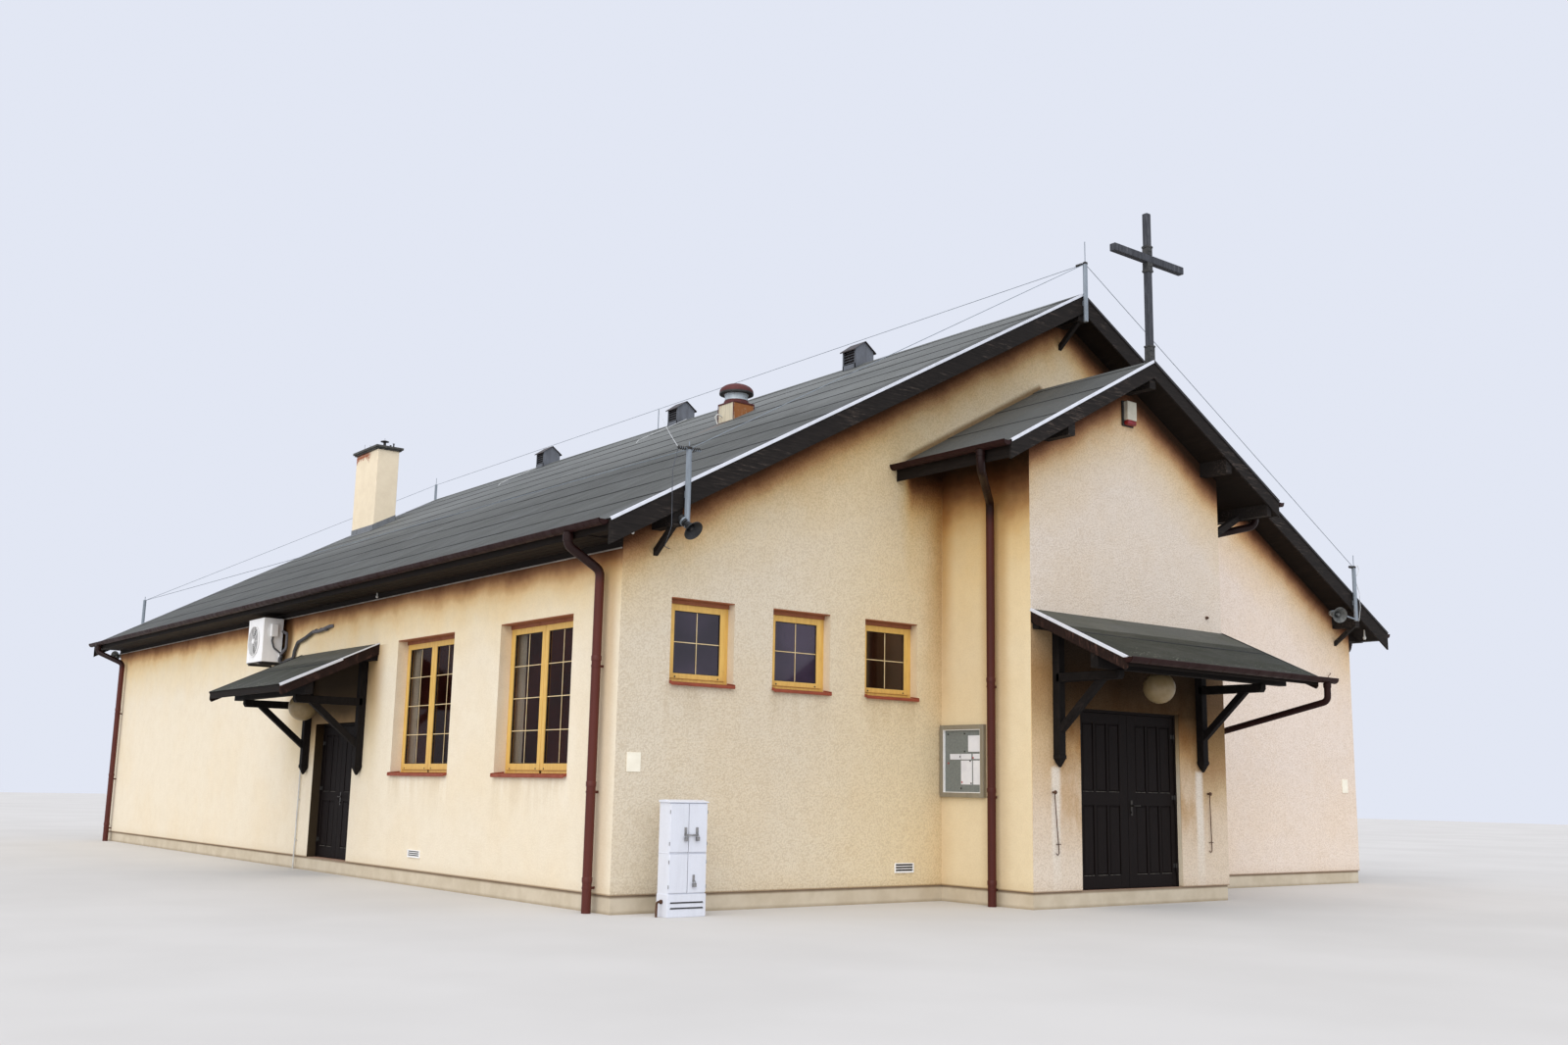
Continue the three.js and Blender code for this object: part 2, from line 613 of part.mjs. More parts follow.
// Two knee brackets and the edge beam that they carry, in the canopy's frame
function canopyBrackets(spec, posts, x0, x1) {
  const fall = (spec.wallZ - spec.edgeZ) / spec.out;
  const half = POST / 2;
  const under = (y) => spec.wallZ + fall * y - spec.slab - GAP;
  const beamOut = spec.armEnd - 20;
  const plateTop = under(-POST);
  const left = x0 + BOARD + GAP;
  const right = x1 - BOARD - GAP;
  const pieces = [
    box(left, -beamOut, spec.armZ + POST - 1, right, -beamOut + POST, under(-beamOut)),
    box(left, -POST, plateTop - POST, right, -GAP, plateTop),
  ];
  for (const x of posts) {
    const top = plateTop - POST + 1;
    pieces.push(box(x - half, -POST, spec.postFoot + POST, x + half, -GAP, top));
    pieces.push(prismX([
      [-POST, spec.postFoot + POST + 1], [-POST / 2, spec.postFoot], [-GAP, spec.postFoot + POST + 1],
    ], x - half, x + half));
    pieces.push(box(x - half, -spec.armEnd, spec.armZ, x + half, -POST / 2, spec.armZ + POST));
    pieces.push(bar([x, -half, spec.braceFoot - 30], [x, -spec.braceHead, spec.armZ + 30], BRACE, [1, 0, 0]));
  }
  return join(...pieces);
}

// Globe lamp hung under a canopy, in the canopy's frame
function globeLamp(spec, x, { out, z, radius }) {
  const rose = 60;
  const fall = (spec.wallZ - spec.edgeZ) / spec.out;
  const under = spec.wallZ - fall * (out + rose) - spec.slab - GAP;
  return join(
    new THREE.SphereGeometry(radius, 16, 12).rotateX(Math.PI / 2).translate(x, -out, z),
    rod([x, -out, z], [x, -out, under], rose / 4, 8),
    rod([x, -out, under - 25], [x, -out, under], rose));
}

const onSide = (geometry) => geometry.applyMatrix4(onLeft).translate(-halfWidth, 0, 0);

function chimney() {
  const { x0, x1, y0, y1, top, capOut, cap } = CHIMNEY;
  const stack = prismY([
    [x0, hallRoofTop(x0) + GAP], [x1, hallRoofTop(x1) + GAP], [x1, top], [x0, top],
  ], y0, y1);
  const slab = box(x0 - capOut, y0 - capOut, top - 1, x1 + capOut, y1 + capOut, top + cap);
  return join(stack, slab);
}

// Cross astride the porch ridge, with a sleeve around its crossing
function cross() {
  const { x, y, top, post: size, armZ, arm, armHeight, armDepth, sleeve, sleeveReach } = CROSS;
  const half = size / 2;
  const seat = porchRidge + GAP;
  const post = prismY([
    [x - half, seat - slope * half], [x, seat], [x + half, seat - slope * half],
    [x + half, top], [x - half, top],
  ], y - half, y + half);
  const arms = box(
    x - arm / 2, y - armDepth / 2, armZ - armHeight / 2, x + arm / 2, y + armDepth / 2, armZ + armHeight / 2);
  const wide = half + sleeve;
  const collar = box(x - wide, y - wide, armZ - sleeveReach, x + wide, y + wide, armZ + sleeveReach);
  return join(post, arms, collar);
}

// Louvred vent astride the hall ridge, under its own small gable roof
function ridgeVent(y) {
  const half = VENT.width / 2;
  const seat = RIDGE + GAP;
  const fall = (VENT.peak - VENT.shoulder) / half;
  const body = prismY([
    [-half, seat - slope * half], [0, seat], [half, seat - slope * half],
    [half, RIDGE + VENT.shoulder - 1], [0, RIDGE + VENT.peak - 1], [-half, RIDGE + VENT.shoulder - 1],
  ], y, y + VENT.length);
  const plate = chevron(
    0, half + VENT.eave, RIDGE + VENT.peak, fall, VENT.plate, y - VENT.eave, y + VENT.length + VENT.eave);
  return join(body, plate);
}

function roofFan() {
  const { x, y, box: side, boxTop, drum, drumTop, cap, top } = FAN;
  const half = side / 2;
  const base = prismY([
    [x - half, hallRoofTop(x - half) + GAP], [x + half, hallRoofTop(x + half) + GAP],
    [x + half, boxTop], [x - half, boxTop],
  ], y - half, y + half);
  const profile = [
    [0, boxTop - 10], [drum, boxTop - 10], [drum, drumTop], [cap, drumTop], [cap * 0.8, top - 70], [0, top],
  ];
  const body = new THREE.LatheGeometry(profile.map(([r, z]) => new THREE.Vector2(r, z)), 20);
  body.rotateX(Math.PI / 2);
  return join(base, body.translate(x, y, 0));
}

// Air conditioner on two wall brackets
function acUnit() {
  const { y0, y1, z0, z1, back, front, arm } = AC;
  const brackets = [y0 + 3 * arm, y1 - 3 * arm].map((y) =>
    box(-halfWidth - front, y - arm / 2, z0 - arm, -halfWidth - GAP, y + arm / 2, z0 + 1));
  return join(box(-halfWidth - front, y0, z0, -halfWidth - back, y1, z1), ...brackets);
}

function meterCabinet() {
  const { x, width, back, front, height, lid } = CABINET;
  const body = box(x + lid / 2, -front + lid / 2, 0, x + width - lid / 2, -back, height - lid);
  return join(body, box(x, -front, height - lid - 1, x + width, -back, height));
}

function noticeboard() {
  const { from, to, z0, z1, thickness } = NOTICEBOARD;
  return box(porchLeft - thickness, -from, z0, porchLeft - GAP, -to, z1);
}

// Curtain drawn to the rear side of a recess in the left wall
function curtain(start) {
  const end = start + TALL_WINDOW.width - 2 * GAP;
  return box(
    -halfWidth + CURTAIN.from, end - CURTAIN.width, CURTAIN.hem,
    -halfWidth + CURTAIN.to, end, TALL_WINDOW.top - GAP);
}

// One mast outside a verge: tube, clamp on the barge board and pointed rod
function mast({ x, foot, top, tip }, y, boardY) {
  const board = hallRoofTop(x) - BOARD_DEPTH / 2;
  const clamp = box(
    x - MAST_CLAMP.width / 2, Math.min(y, boardY), board - MAST_CLAMP.height / 2,
    x + MAST_CLAMP.width / 2, Math.max(y, boardY), board + MAST_CLAMP.height / 2);
  const tube = rod([x, y, foot], [x, y, top], MAST_RADIUS, 8);
  return [tube, rod([x, y, top - MAST_RADIUS], [x, y, tip], ROD_RADIUS, 6), clamp];
}

// The masts, the stay on the ridge, and the wires between their tops, as one body
function lightningConductor() {
  const frontY = -VERGE_OUT - MAST_OFF_BOARD;
  const rearY = rearVerge + MAST_OFF_BOARD;
  const [left, apex, right] = FRONT_MASTS.map(({ x, top }) => [x, frontY, top - WIRE_BELOW_TOP]);
  const [rearLeft, rearApex] = REAR_MASTS.map(({ x, top }) => [x, rearY, top - WIRE_BELOW_TOP]);
  const stay = [0, RIDGE_STAY.y, RIDGE_STAY.top - WIRE_BELOW_TOP];
  const spans = [
    [left, apex], [apex, right], [apex, stay], [stay, rearApex], [rearApex, rearLeft], [left, rearLeft],
  ];
  const stayFoot = [0, RIDGE_STAY.y, RIDGE + GAP + 1];
  const stayRod = rod(stayFoot, [0, RIDGE_STAY.y, RIDGE_STAY.top], 2 * WIRE_RADIUS, 8);
  const half = 2 * MAST_RADIUS;
  const saddle = chevron(
    0, half, RIDGE + GAP + WIRE_RADIUS, slope, WIRE_RADIUS, RIDGE_STAY.y - half, RIDGE_STAY.y + half);
  const { reach, radius } = INSULATOR_BAR;
  const insulators = rod([left[0] - reach, frontY, left[2]], [left[0] + reach, frontY, left[2]], radius, 8);
  return join(
    ...FRONT_MASTS.flatMap((spec) => mast(spec, frontY, -VERGE_OUT - GAP)),
    ...REAR_MASTS.flatMap((spec) => mast(spec, rearY, rearVerge + GAP)),
    saddle, stayRod, insulators, ...spans.map(([from, to]) => rod(from, to, WIRE_RADIUS, 6)));
}

add("ground_slab", groundSlab(), materials.concrete);
add("front_wall_left", frontWallLeft(), materials.render);
add("front_wall_right", gablePart(porchRight, halfWidth, FLOOR, 0, WALL), materials.render);
add("front_gable", gablePart(porchLeft, porchRight, PORCH_ARCH_HEAD, 0, WALL), materials.render);
add("rear_wall", gablePart(-halfWidth, halfWidth, FLOOR, HALL_LENGTH - WALL, HALL_LENGTH), materials.render);
add("left_wall_front", sideWall(-1, WALL, SIDE_DOOR_START, FLOOR, TALL_WINDOW_STARTS), materials.render);
add("left_wall_over_door", sideWall(-1, SIDE_DOOR_START, sideDoorEnd, SIDE_DOOR_HEAD, []), materials.render);
add("left_wall_rear", sideWall(-1, sideDoorEnd, rearFace, FLOOR, []), materials.render);
add("right_wall", sideWall(1, WALL, rearFace, FLOOR, TALL_WINDOW_STARTS), materials.render);
add("porch_left_wall", porchSideWall(-1), materials.render);
add("porch_right_wall", porchSideWall(1), materials.render);
add("porch_gable", porchGable(), materials.render);

add("hall_roof_left", hallRoof(-1), materials.felt);
add("hall_roof_right", hallRoof(1), materials.felt);
add("porch_roof_left", porchRoof(-1), materials.felt);
add("porch_roof_right", porchRoof(1), materials.felt);
add("front_barge_boards", hallVerge(VERGE_OUT), materials.timber);
add("rear_barge_boards", rearVergeTimbers(), materials.timber);
add("porch_barge_boards", porchVergeTimbers(), materials.timber);

for (const [name, side] of [["left", -1], ["right", 1]]) {
  const edge = side * hallReach;
  const trough = gutter(edge, side, HALL_GUTTER_TOP, -VERGE_OUT + BOARD, rearVerge - BOARD);
  add(`${name}_gutter`, trough, materials.copper);
  const front = hallDownpipe(side, HALL_PIPE_INSET.front, HALL_OUTLET_INSET.front);
  const rear = hallDownpipe(
    side, HALL_LENGTH - HALL_PIPE_INSET.rear, HALL_LENGTH - HALL_OUTLET_INSET.rear);
  add(`${name}_front_downpipe`, front, materials.copper);
  add(`${name}_rear_downpipe`, rear, materials.copper);
  add(`porch_${name}_gutter`, porchGutter(side), materials.copper);
}
add("canopy_gutter", canopyGutter(), materials.copper);

SMALL_WINDOW_STARTS.forEach((x, i) =>
  add(`front_window_${i + 1}`, windowUnit(SMALL_WINDOW, 1).translate(x, 0, 0), materials.window));
TALL_WINDOW_STARTS.forEach((y, i) => {
  add(`left_window_${i + 1}`, tallWindow(-1, y), materials.window);
  add(`right_window_${i + 1}`, tallWindow(1, y), materials.window);
  add(`left_window_${i + 1}_curtain`, curtain(y), materials.cloth);
});

add("main_door_frame", mainDoorPlace(doorFrame(DOOR_WIDTH, DOOR_HEAD)), materials.door);
add("main_door_left", mainDoorPlace(doorLeaf(DOOR_WIDTH, DOOR_HEAD, false)), materials.door);
add("main_door_right", mainDoorPlace(doorLeaf(DOOR_WIDTH, DOOR_HEAD, true)), materials.door);
add("side_door_frame", sideDoorPlace(doorFrame(SIDE_DOOR_WIDTH, SIDE_DOOR_HEAD)), materials.door);
add("side_door_rear", sideDoorPlace(doorLeaf(SIDE_DOOR_WIDTH, SIDE_DOOR_HEAD, false)), materials.door);
add("side_door_front", sideDoorPlace(doorLeaf(SIDE_DOOR_WIDTH, SIDE_DOOR_HEAD, true)), materials.door);

const beforePorch = (geometry) => geometry.translate(0, -PORCH_DEPTH, 0);
add("main_canopy_roof", beforePorch(canopyRoof(CANOPY, porchLeft, porchRight)), materials.felt);
add("main_canopy_brackets",
  beforePorch(canopyBrackets(CANOPY, MAIN_POSTS, porchLeft, porchRight)), materials.timber);
add("main_lamp", beforePorch(globeLamp(CANOPY, DOOR_CENTRE, MAIN_LAMP)), materials.opal);
const sideStart = -SIDE_CANOPY_END;
const sideEnd = -SIDE_CANOPY_START;
add("side_canopy_roof", onSide(canopyRoof(SIDE_CANOPY, sideStart, sideEnd)), materials.felt);
add("side_canopy_brackets",
  onSide(canopyBrackets(SIDE_CANOPY, SIDE_POSTS.map((y) => -y), sideStart, sideEnd)), materials.timber);
add("side_lamp",
  onSide(globeLamp(SIDE_CANOPY, -SIDE_DOOR_START - SIDE_DOOR_WIDTH / 2, SIDE_LAMP)), materials.opal);

add("chimney", chimney(), materials.render);
add("cross", cross(), materials.timber);
VENT_STARTS.forEach((y, i) => add(`ridge_vent_${i + 1}`, ridgeVent(y), materials.zinc));
add("roof_fan", roofFan(), materials.zinc);
add("ac_unit", acUnit(), materials.white);
add("meter_cabinet", meterCabinet(), materials.white);
add("noticeboard", noticeboard(), materials.zinc);
add("lightning_conductor", lightningConductor(), materials.zinc);

const reachLeft = halfWidth + SIDE_CANOPY.out;
const reachRight = hallReach + GAP + 2 * GUTTER_RADIUS;
const reachFront = PORCH_DEPTH + CANOPY.out + GAP + 2 * GUTTER_RADIUS;
const reachRear = rearVerge + MAST_OFF_BOARD + MAST_RADIUS;
church.position.set((reachLeft - reachRight) / 2, (reachFront - reachRear) / 2, 0);

export default church;
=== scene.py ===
# Looks of the church hall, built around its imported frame.
# Measures are metres in the building's own axes: x from the ridge line, y from the face of the front
# gable wall towards the rear, z from the ground. Shape.finish and Material.position shift them into
# the frame's axes, so every mesh keeps its place in its own coordinates.
import math
import random

import bmesh
import bpy
from mathutils import Matrix, Vector


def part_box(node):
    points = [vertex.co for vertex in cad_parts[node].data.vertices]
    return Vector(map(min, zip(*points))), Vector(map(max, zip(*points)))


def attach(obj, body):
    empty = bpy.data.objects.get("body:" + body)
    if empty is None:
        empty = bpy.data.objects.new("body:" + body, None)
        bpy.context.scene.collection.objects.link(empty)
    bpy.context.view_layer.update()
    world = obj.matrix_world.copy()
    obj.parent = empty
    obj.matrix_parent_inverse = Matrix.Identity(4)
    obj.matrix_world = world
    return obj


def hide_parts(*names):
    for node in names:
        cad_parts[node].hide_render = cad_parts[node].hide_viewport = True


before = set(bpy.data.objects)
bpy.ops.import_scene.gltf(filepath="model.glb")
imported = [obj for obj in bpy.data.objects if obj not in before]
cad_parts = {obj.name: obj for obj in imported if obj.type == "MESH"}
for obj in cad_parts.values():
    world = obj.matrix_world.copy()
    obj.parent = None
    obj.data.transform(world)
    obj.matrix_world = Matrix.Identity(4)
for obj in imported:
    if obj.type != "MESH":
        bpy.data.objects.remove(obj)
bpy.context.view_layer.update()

ORIGIN = Vector((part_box("hall_roof_left")[1].x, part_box("front_gable")[0].y, 0.0))


def local_box(node):
    """Lowest and highest corner of a CAD node in the building's own axes."""
    low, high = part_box(node)
    return low - ORIGIN, high - ORIGIN


# Driving measures, read off the frame where a node gives them
RIDGE = local_box("hall_roof_left")[1].z
EAVE = 4.380
HALL_REACH = -local_box("hall_roof_left")[0].x
SLOPE = (RIDGE - EAVE) / HALL_REACH
PITCH = math.atan(SLOPE)
HALF_WIDTH = -local_box("left_wall_front")[0].x
LENGTH = local_box("rear_wall")[1].y
FLOOR = local_box("ground_slab")[1].z
VERGE = local_box("front_barge_boards")[0].y
REAR_VERGE = local_box("rear_barge_boards")[1].y
PORCH_LEFT = local_box("porch_left_wall")[0].x
PORCH_RIGHT = local_box("porch_right_wall")[1].x
PORCH_CENTRE = (PORCH_LEFT + PORCH_RIGHT) / 2
PORCH_FRONT = local_box("porch_left_wall")[0].y
PORCH_VERGE = local_box("porch_barge_boards")[0].y
PORCH_RIDGE = local_box("porch_roof_left")[1].z
PORCH_REACH = PORCH_CENTRE - local_box("porch_roof_left")[0].x
ROOF_DEPTH = 0.220
WALL = 0.39
SOFFIT_Z = 4.250
MAST_Y = VERGE - 0.042
PORCH_START = -0.004
PORCH_PIPE_Y = -1.015
SMALL_WINDOWS = [f"front_window_{i}" for i in (1, 2, 3)]
LEFT_WINDOWS = [f"left_window_{i}" for i in (1, 2)]
RIGHT_WINDOWS = [f"right_window_{i}" for i in (1, 2)]
SIDES = ((-1, "left"), (1, "right"))

# Canopies, in a frame with x along the wall and y from 0 on the wall to minus out at the edge
CANOPIES = {
    "main": {"x0": PORCH_LEFT, "x1": PORCH_RIGHT, "wall": 3.770, "edge": 3.067, "out": 1.535, "foot": 1.765,
             "arm": 2.850, "arm_end": 1.080, "brace_foot": 2.240, "brace_head": 0.790,
             "posts": (-2.050, 0.954), "lamp": (-0.533, 0.480, 2.850, 0.213)},
    "side": {"x0": -10.014, "x1": -6.831, "wall": 3.475, "edge": 2.779, "out": 1.469, "foot": 1.505,
             "arm": 2.545, "arm_end": 1.100, "brace_foot": 1.960, "brace_head": 0.830,
             "posts": (-9.435, -7.250), "lamp": (-8.374, 0.540, 2.540, 0.215)},
}


def hall_top(x):
    return RIDGE - SLOPE * abs(x)


# The photograph's own viewpoint, solved from the building's edges
CAMERA_PLACE = Vector((-16.693, -14.495, 1.434))
YAW, TILT, ROLL = 0.66615, 0.17825, 0.019645
FOCAL_PIXELS, IMAGE_WIDTH, SENSOR = 1504.25, 1600, 36.0


def camera():
    forward = Vector((math.sin(YAW) * math.cos(TILT), math.cos(YAW) * math.cos(TILT), math.sin(TILT)))
    level = Vector((math.cos(YAW), -math.sin(YAW), 0.0))
    upright = level.cross(forward)
    right = level * math.cos(ROLL) + upright * math.sin(ROLL)
    up = upright * math.cos(ROLL) - level * math.sin(ROLL)
    data = bpy.data.cameras.new("camera")
    data.sensor_width = SENSOR
    data.sensor_fit = "HORIZONTAL"
    data.lens = SENSOR * FOCAL_PIXELS / IMAGE_WIDTH
    data.clip_end = 400.0
    view = bpy.data.objects.new("camera", data)
    turn = Matrix((right, up, -forward)).transposed().to_4x4()
    view.matrix_world = Matrix.Translation(CAMERA_PLACE + ORIGIN) @ turn
    bpy.context.scene.collection.objects.link(view)
    bpy.context.scene.camera = view


camera()


# Materials
class Value:
    """A value that varies over a surface. Arithmetic adds nodes; | gives the larger, & the smaller."""

    def __init__(self, material, socket):
        self.material, self.socket = material, socket

    def __add__(self, other):
        return self.material.math("ADD", self, other)

    def __sub__(self, other):
        return self.material.math("SUBTRACT", self, other)

    def __rsub__(self, other):
        return self.material.math("SUBTRACT", other, self)

    def __mul__(self, other):
        return self.material.math("MULTIPLY", self, other)

    def __lt__(self, other):
        return self.material.math("LESS_THAN", self, other)

    def __gt__(self, other):
        return self.material.math("GREATER_THAN", self, other)

    def __or__(self, other):
        return self.material.math("MAXIMUM", self, other)

    def __and__(self, other):
        return self.material.math("MINIMUM", self, other)

    def __abs__(self):
        return self.material.math("ABSOLUTE", self)


class Material:
    """A procedural material whose colour is laid on in steps. Calls take values or plain numbers."""

    def __init__(self, name, base, roughness=0.8, metallic=0.0, specular=0.3):
        self.data = bpy.data.materials.new(name)
        self.data.use_nodes = True
        self.shader = self.data.node_tree.nodes["Principled BSDF"]
        self.base = base
        self.place = None
        self.shader.inputs["Roughness"].default_value = roughness
        self.shader.inputs["Metallic"].default_value = metallic
        self.shader.inputs["Specular IOR Level"].default_value = specular

    def put(self, socket, value):
        if isinstance(value, Value):
            self.data.node_tree.links.new(value.socket, socket)
        elif socket.type == "RGBA":
            socket.default_value = (*value, 1.0)
        else:
            socket.default_value = value

    def node(self, kind, output, inputs, **settings):
        """An output of a new node whose inputs are given as pairs of socket and value."""
        node = self.data.node_tree.nodes.new(kind)
        for key, value in settings.items():
            setattr(node, key, value)
        for key, value in inputs:
            self.put(node.inputs[key], value)
        return Value(self, node.outputs[output])

    def math(self, operation, *values, clamp=False):
        return self.node("ShaderNodeMath", 0, enumerate(values), operation=operation, use_clamp=clamp)

    def vector(self, operation, a, b):
        return self.node("ShaderNodeVectorMath", 0, ((0, a), (1, b)), operation=operation)

    def position(self):
        """Place on the object in the building's own axes."""
        if self.place is None:
            self.place = self.vector("SUBTRACT", self.node("ShaderNodeTexCoord", "Object", ()), ORIGIN)
        return self.place

    def axes(self, vector=None):
        first = self.node("ShaderNodeSeparateXYZ", 0, ((0, vector or self.position()),))
        return [Value(self, socket) for socket in first.socket.node.outputs]

    def normal(self):
        return self.axes(self.node("ShaderNodeNewGeometry", "Normal", ()))

    def smooth(self, value, low, high, to_low=0.0, to_high=1.0):
        """Runs from to_low to to_high while a value runs from low to high."""
        inputs = (("Value", value), ("From Min", low), ("From Max", high), ("To Min", to_low),
                  ("To Max", to_high))
        return self.node("ShaderNodeMapRange", "Result", inputs, interpolation_type="SMOOTHSTEP")

    def band(self, value, low, high, soft):
        """1 between low and high, falling to 0 over soft outside them."""
        return self.smooth(value, low - soft, low) * self.smooth(value, high, high + soft, 1.0, 0.0)

    def noise(self, scale, detail=3.0, rough=0.55, stretch=(1, 1, 1), distortion=0.0):
        place = self.vector("MULTIPLY", self.position(), stretch)
        inputs = (("Vector", place), ("Scale", scale), ("Detail", detail), ("Roughness", rough),
                  ("Distortion", distortion))
        return self.node("ShaderNodeTexNoise", "Fac", inputs)

    def cells(self, scale):
        inputs = (("Vector", self.position()), ("Scale", scale))
        return self.node("ShaderNodeTexVoronoi", "Distance", inputs)

    def ramp(self, value, *stops):
        """Colour that runs evenly through stops of (value, colour)."""
        low, high = stops[0][0], stops[-1][0]
        share = self.math("DIVIDE", value - low, high - low, clamp=True)
        colour = self.node("ShaderNodeValToRGB", "Color", (("Fac", share),))
        track = colour.socket.node.color_ramp.elements
        track[0].color = (*stops[0][1], 1.0)
        track[1].color = (*stops[-1][1], 1.0)
        for at, tint in stops[1:-1]:
            track.new((at - low) / (high - low)).color = (*tint, 1.0)
        return colour

    def mix(self, factor, a, b, blend="MIX"):
        return self.node("ShaderNodeMix", 2, (("Factor", factor), (6, a), (7, b)), data_type="RGBA",
                         blend_type=blend)

    def lay(self, amount, colour):
        """Cover the colour so far with another."""
        self.base = self.mix(amount, self.base, colour)

    def stain(self, amount, colour):
        """Darken the colour so far by another."""
        self.base = self.mix(amount, self.base, colour, "MULTIPLY")

    def done(self, height, distance, strength, roughness=None):
        """The material itself, in the colour so far, with bumps where height is large."""
        inputs = (("Strength", strength), ("Distance", distance), ("Height", height))
        self.put(self.shader.inputs["Normal"], self.node("ShaderNodeBump", "Normal", inputs))
        self.put(self.shader.inputs["Base Color"], self.base)
        if roughness:
            self.put(self.shader.inputs["Roughness"], roughness)
        return self.data


def shade(colour, factor):
    return [factor * c for c in colour]


def overhead(m, x, y, z, nx):
    """Distance down from the roof overhead, for the staining and painted shade under it: smaller where a
    wide eave shelters it.
    """
    off_porch, across = abs(x - PORCH_CENTRE), abs(x)
    hall = across * -SLOPE + (RIDGE - ROOF_DEPTH) - z
    porch = off_porch * -SLOPE + (PORCH_RIDGE - ROOF_DEPTH) - z
    sideways = m.smooth(abs(nx), 0.5, 0.8)
    porch = porch + sideways * -0.45 * (porch + 0.10)
    eave = (SOFFIT_Z - 0.10 - z) * 1.1 + 0.20
    outer = sideways * (across > HALF_WIDTH - 0.5)
    hall = hall * (1.0 - outer) + eave * outer
    beside = m.band(off_porch, PORCH_CENTRE - PORCH_LEFT - 0.02, PORCH_REACH - 0.30, 0.50)
    sheltered = (1.0 - beside) * 1.6 + ((5.70 - z) * 0.8 + 0.12)
    porch_top = (off_porch & PORCH_REACH) * -SLOPE + (PORCH_RIDGE - 0.10)
    elsewhere = (z > porch_top) | (y > 0.5)
    hall = (hall + (x > PORCH_RIGHT) * 0.10) & (sheltered + elsewhere * 9.0)
    at_porch = y < PORCH_START
    return hall * (1.0 - at_porch) + porch * at_porch


def corner_dirt_and_shade(m, x, y, z, off_porch, wander):
    """Dirt and painted shade where the porch meets the hall, over its roof, and around the pipes and the
    cooling unit.
    """
    over_roof = z + (off_porch * SLOPE - PORCH_RIDGE)
    # Dirt and painted shade in the crease along the top of the porch roof.
    line = (y > PORCH_START) * (y < 0.03) * m.band(over_roof, -0.02, 0.04, 0.09)
    m.stain(line * m.smooth(off_porch, PORCH_REACH, PORCH_REACH - 0.3), (0.36, 0.29, 0.22))
    # Dirt and painted shade in the inner corner of the porch and the hall.
    inner = m.smooth(PORCH_LEFT - x + wander * 0.35, 0.45, 0.0) * (x < PORCH_LEFT) & (abs(y) < 0.03)
    deep = (x < PORCH_LEFT + 0.01) * (y < PORCH_START)
    inner = (inner | deep * m.smooth(y, -0.30, 0.0)) * m.smooth(z, 2.2, 4.2, 0.25, 0.85)
    m.stain(inner * m.smooth(over_roof, -0.15, -0.25), (0.72, 0.57, 0.38))
    side = x < 0.01 - HALF_WIDTH
    # Dirt and painted shade as a halo beside the downpipes.
    porch_pipe = deep * m.band(y, PORCH_PIPE_Y - 0.10, PORCH_PIPE_Y + 0.14, 0.20)
    halo = side * m.band(y, 0.20, 0.46, 0.20) | porch_pipe
    m.stain(halo * m.smooth(z, 1.0, 4.0, 0.30, 0.70), (0.70, 0.55, 0.38))
    # Dirt and painted shadow on the wall beside the cooling unit.
    off_y = (y - 10.86) * 2.2 + wander * 0.3
    off_z = (z - 3.80) * 1.7
    off_unit = m.math("SQRT", off_y * off_y + off_z * off_z)
    m.stain(side * m.smooth(off_unit, 1.05, 0.50), (0.20, 0.145, 0.10))


def canopy_painted_shade(m, x, y, z, wander):
    """Painted shade, with some soot, on the wall under each door canopy, deepest between the bracket posts.
    """
    level = wander * 0.22 + z
    open_side = m.ramp(level, (1.30, (1.0, 1.0, 1.0)), (1.97, (0.94, 0.90, 0.80)),
                       (2.30, (0.83, 0.75, 0.60)), (2.60, (0.70, 0.58, 0.42)), (2.95, (0.62, 0.47, 0.30)))
    closed_side = m.ramp(level, (1.20, (1.0, 1.0, 1.0)), (1.50, (0.88, 0.83, 0.71)),
                         (1.80, (0.62, 0.50, 0.36)), (2.10, (0.46, 0.37, 0.24)), (2.70, (0.22, 0.17, 0.13)))
    between = m.ramp(level, (1.60, (1.0, 1.0, 1.0)), (2.00, (0.80, 0.68, 0.50)), (2.25, (0.42, 0.31, 0.20)),
                     (2.50, (0.12, 0.09, 0.06)), (2.90, (0.065, 0.050, 0.040)))
    opening = (y < PORCH_FRONT + 0.30) * m.band(x, -1.58, 0.515, 0.001)
    main = ((y < PORCH_FRONT + 0.002) | opening) * (z < 3.74)
    m.stain(main * m.smooth(x, -1.98, -2.06), open_side)
    m.stain(main * m.smooth(x, -2.06, -1.98) * m.smooth(x, 1.00, 0.90), between)
    m.stain(main * m.smooth(x, 0.90, 1.00), closed_side)
    side = (x < 0.18 - HALF_WIDTH) * (z < 3.45)
    near = m.smooth(y, 6.45, 7.00) * m.smooth(y, 7.30, 7.20)
    far = m.smooth(y, 9.38, 9.48) * m.smooth(y, 10.75, 10.05)
    m.stain(side * (near | far), open_side)
    m.stain(side * m.smooth(y, 7.20, 7.30) * m.smooth(y, 9.48, 9.38), between)
    # Painted shade, near black, in the side door's reveal.
    reveal = (x > 0.004 - HALF_WIDTH) * (x < 0.30 - HALF_WIDTH) * m.band(y, 7.56, 9.19, 0.001) * (z < 2.33)
    m.stain(reveal, (0.07, 0.055, 0.040))


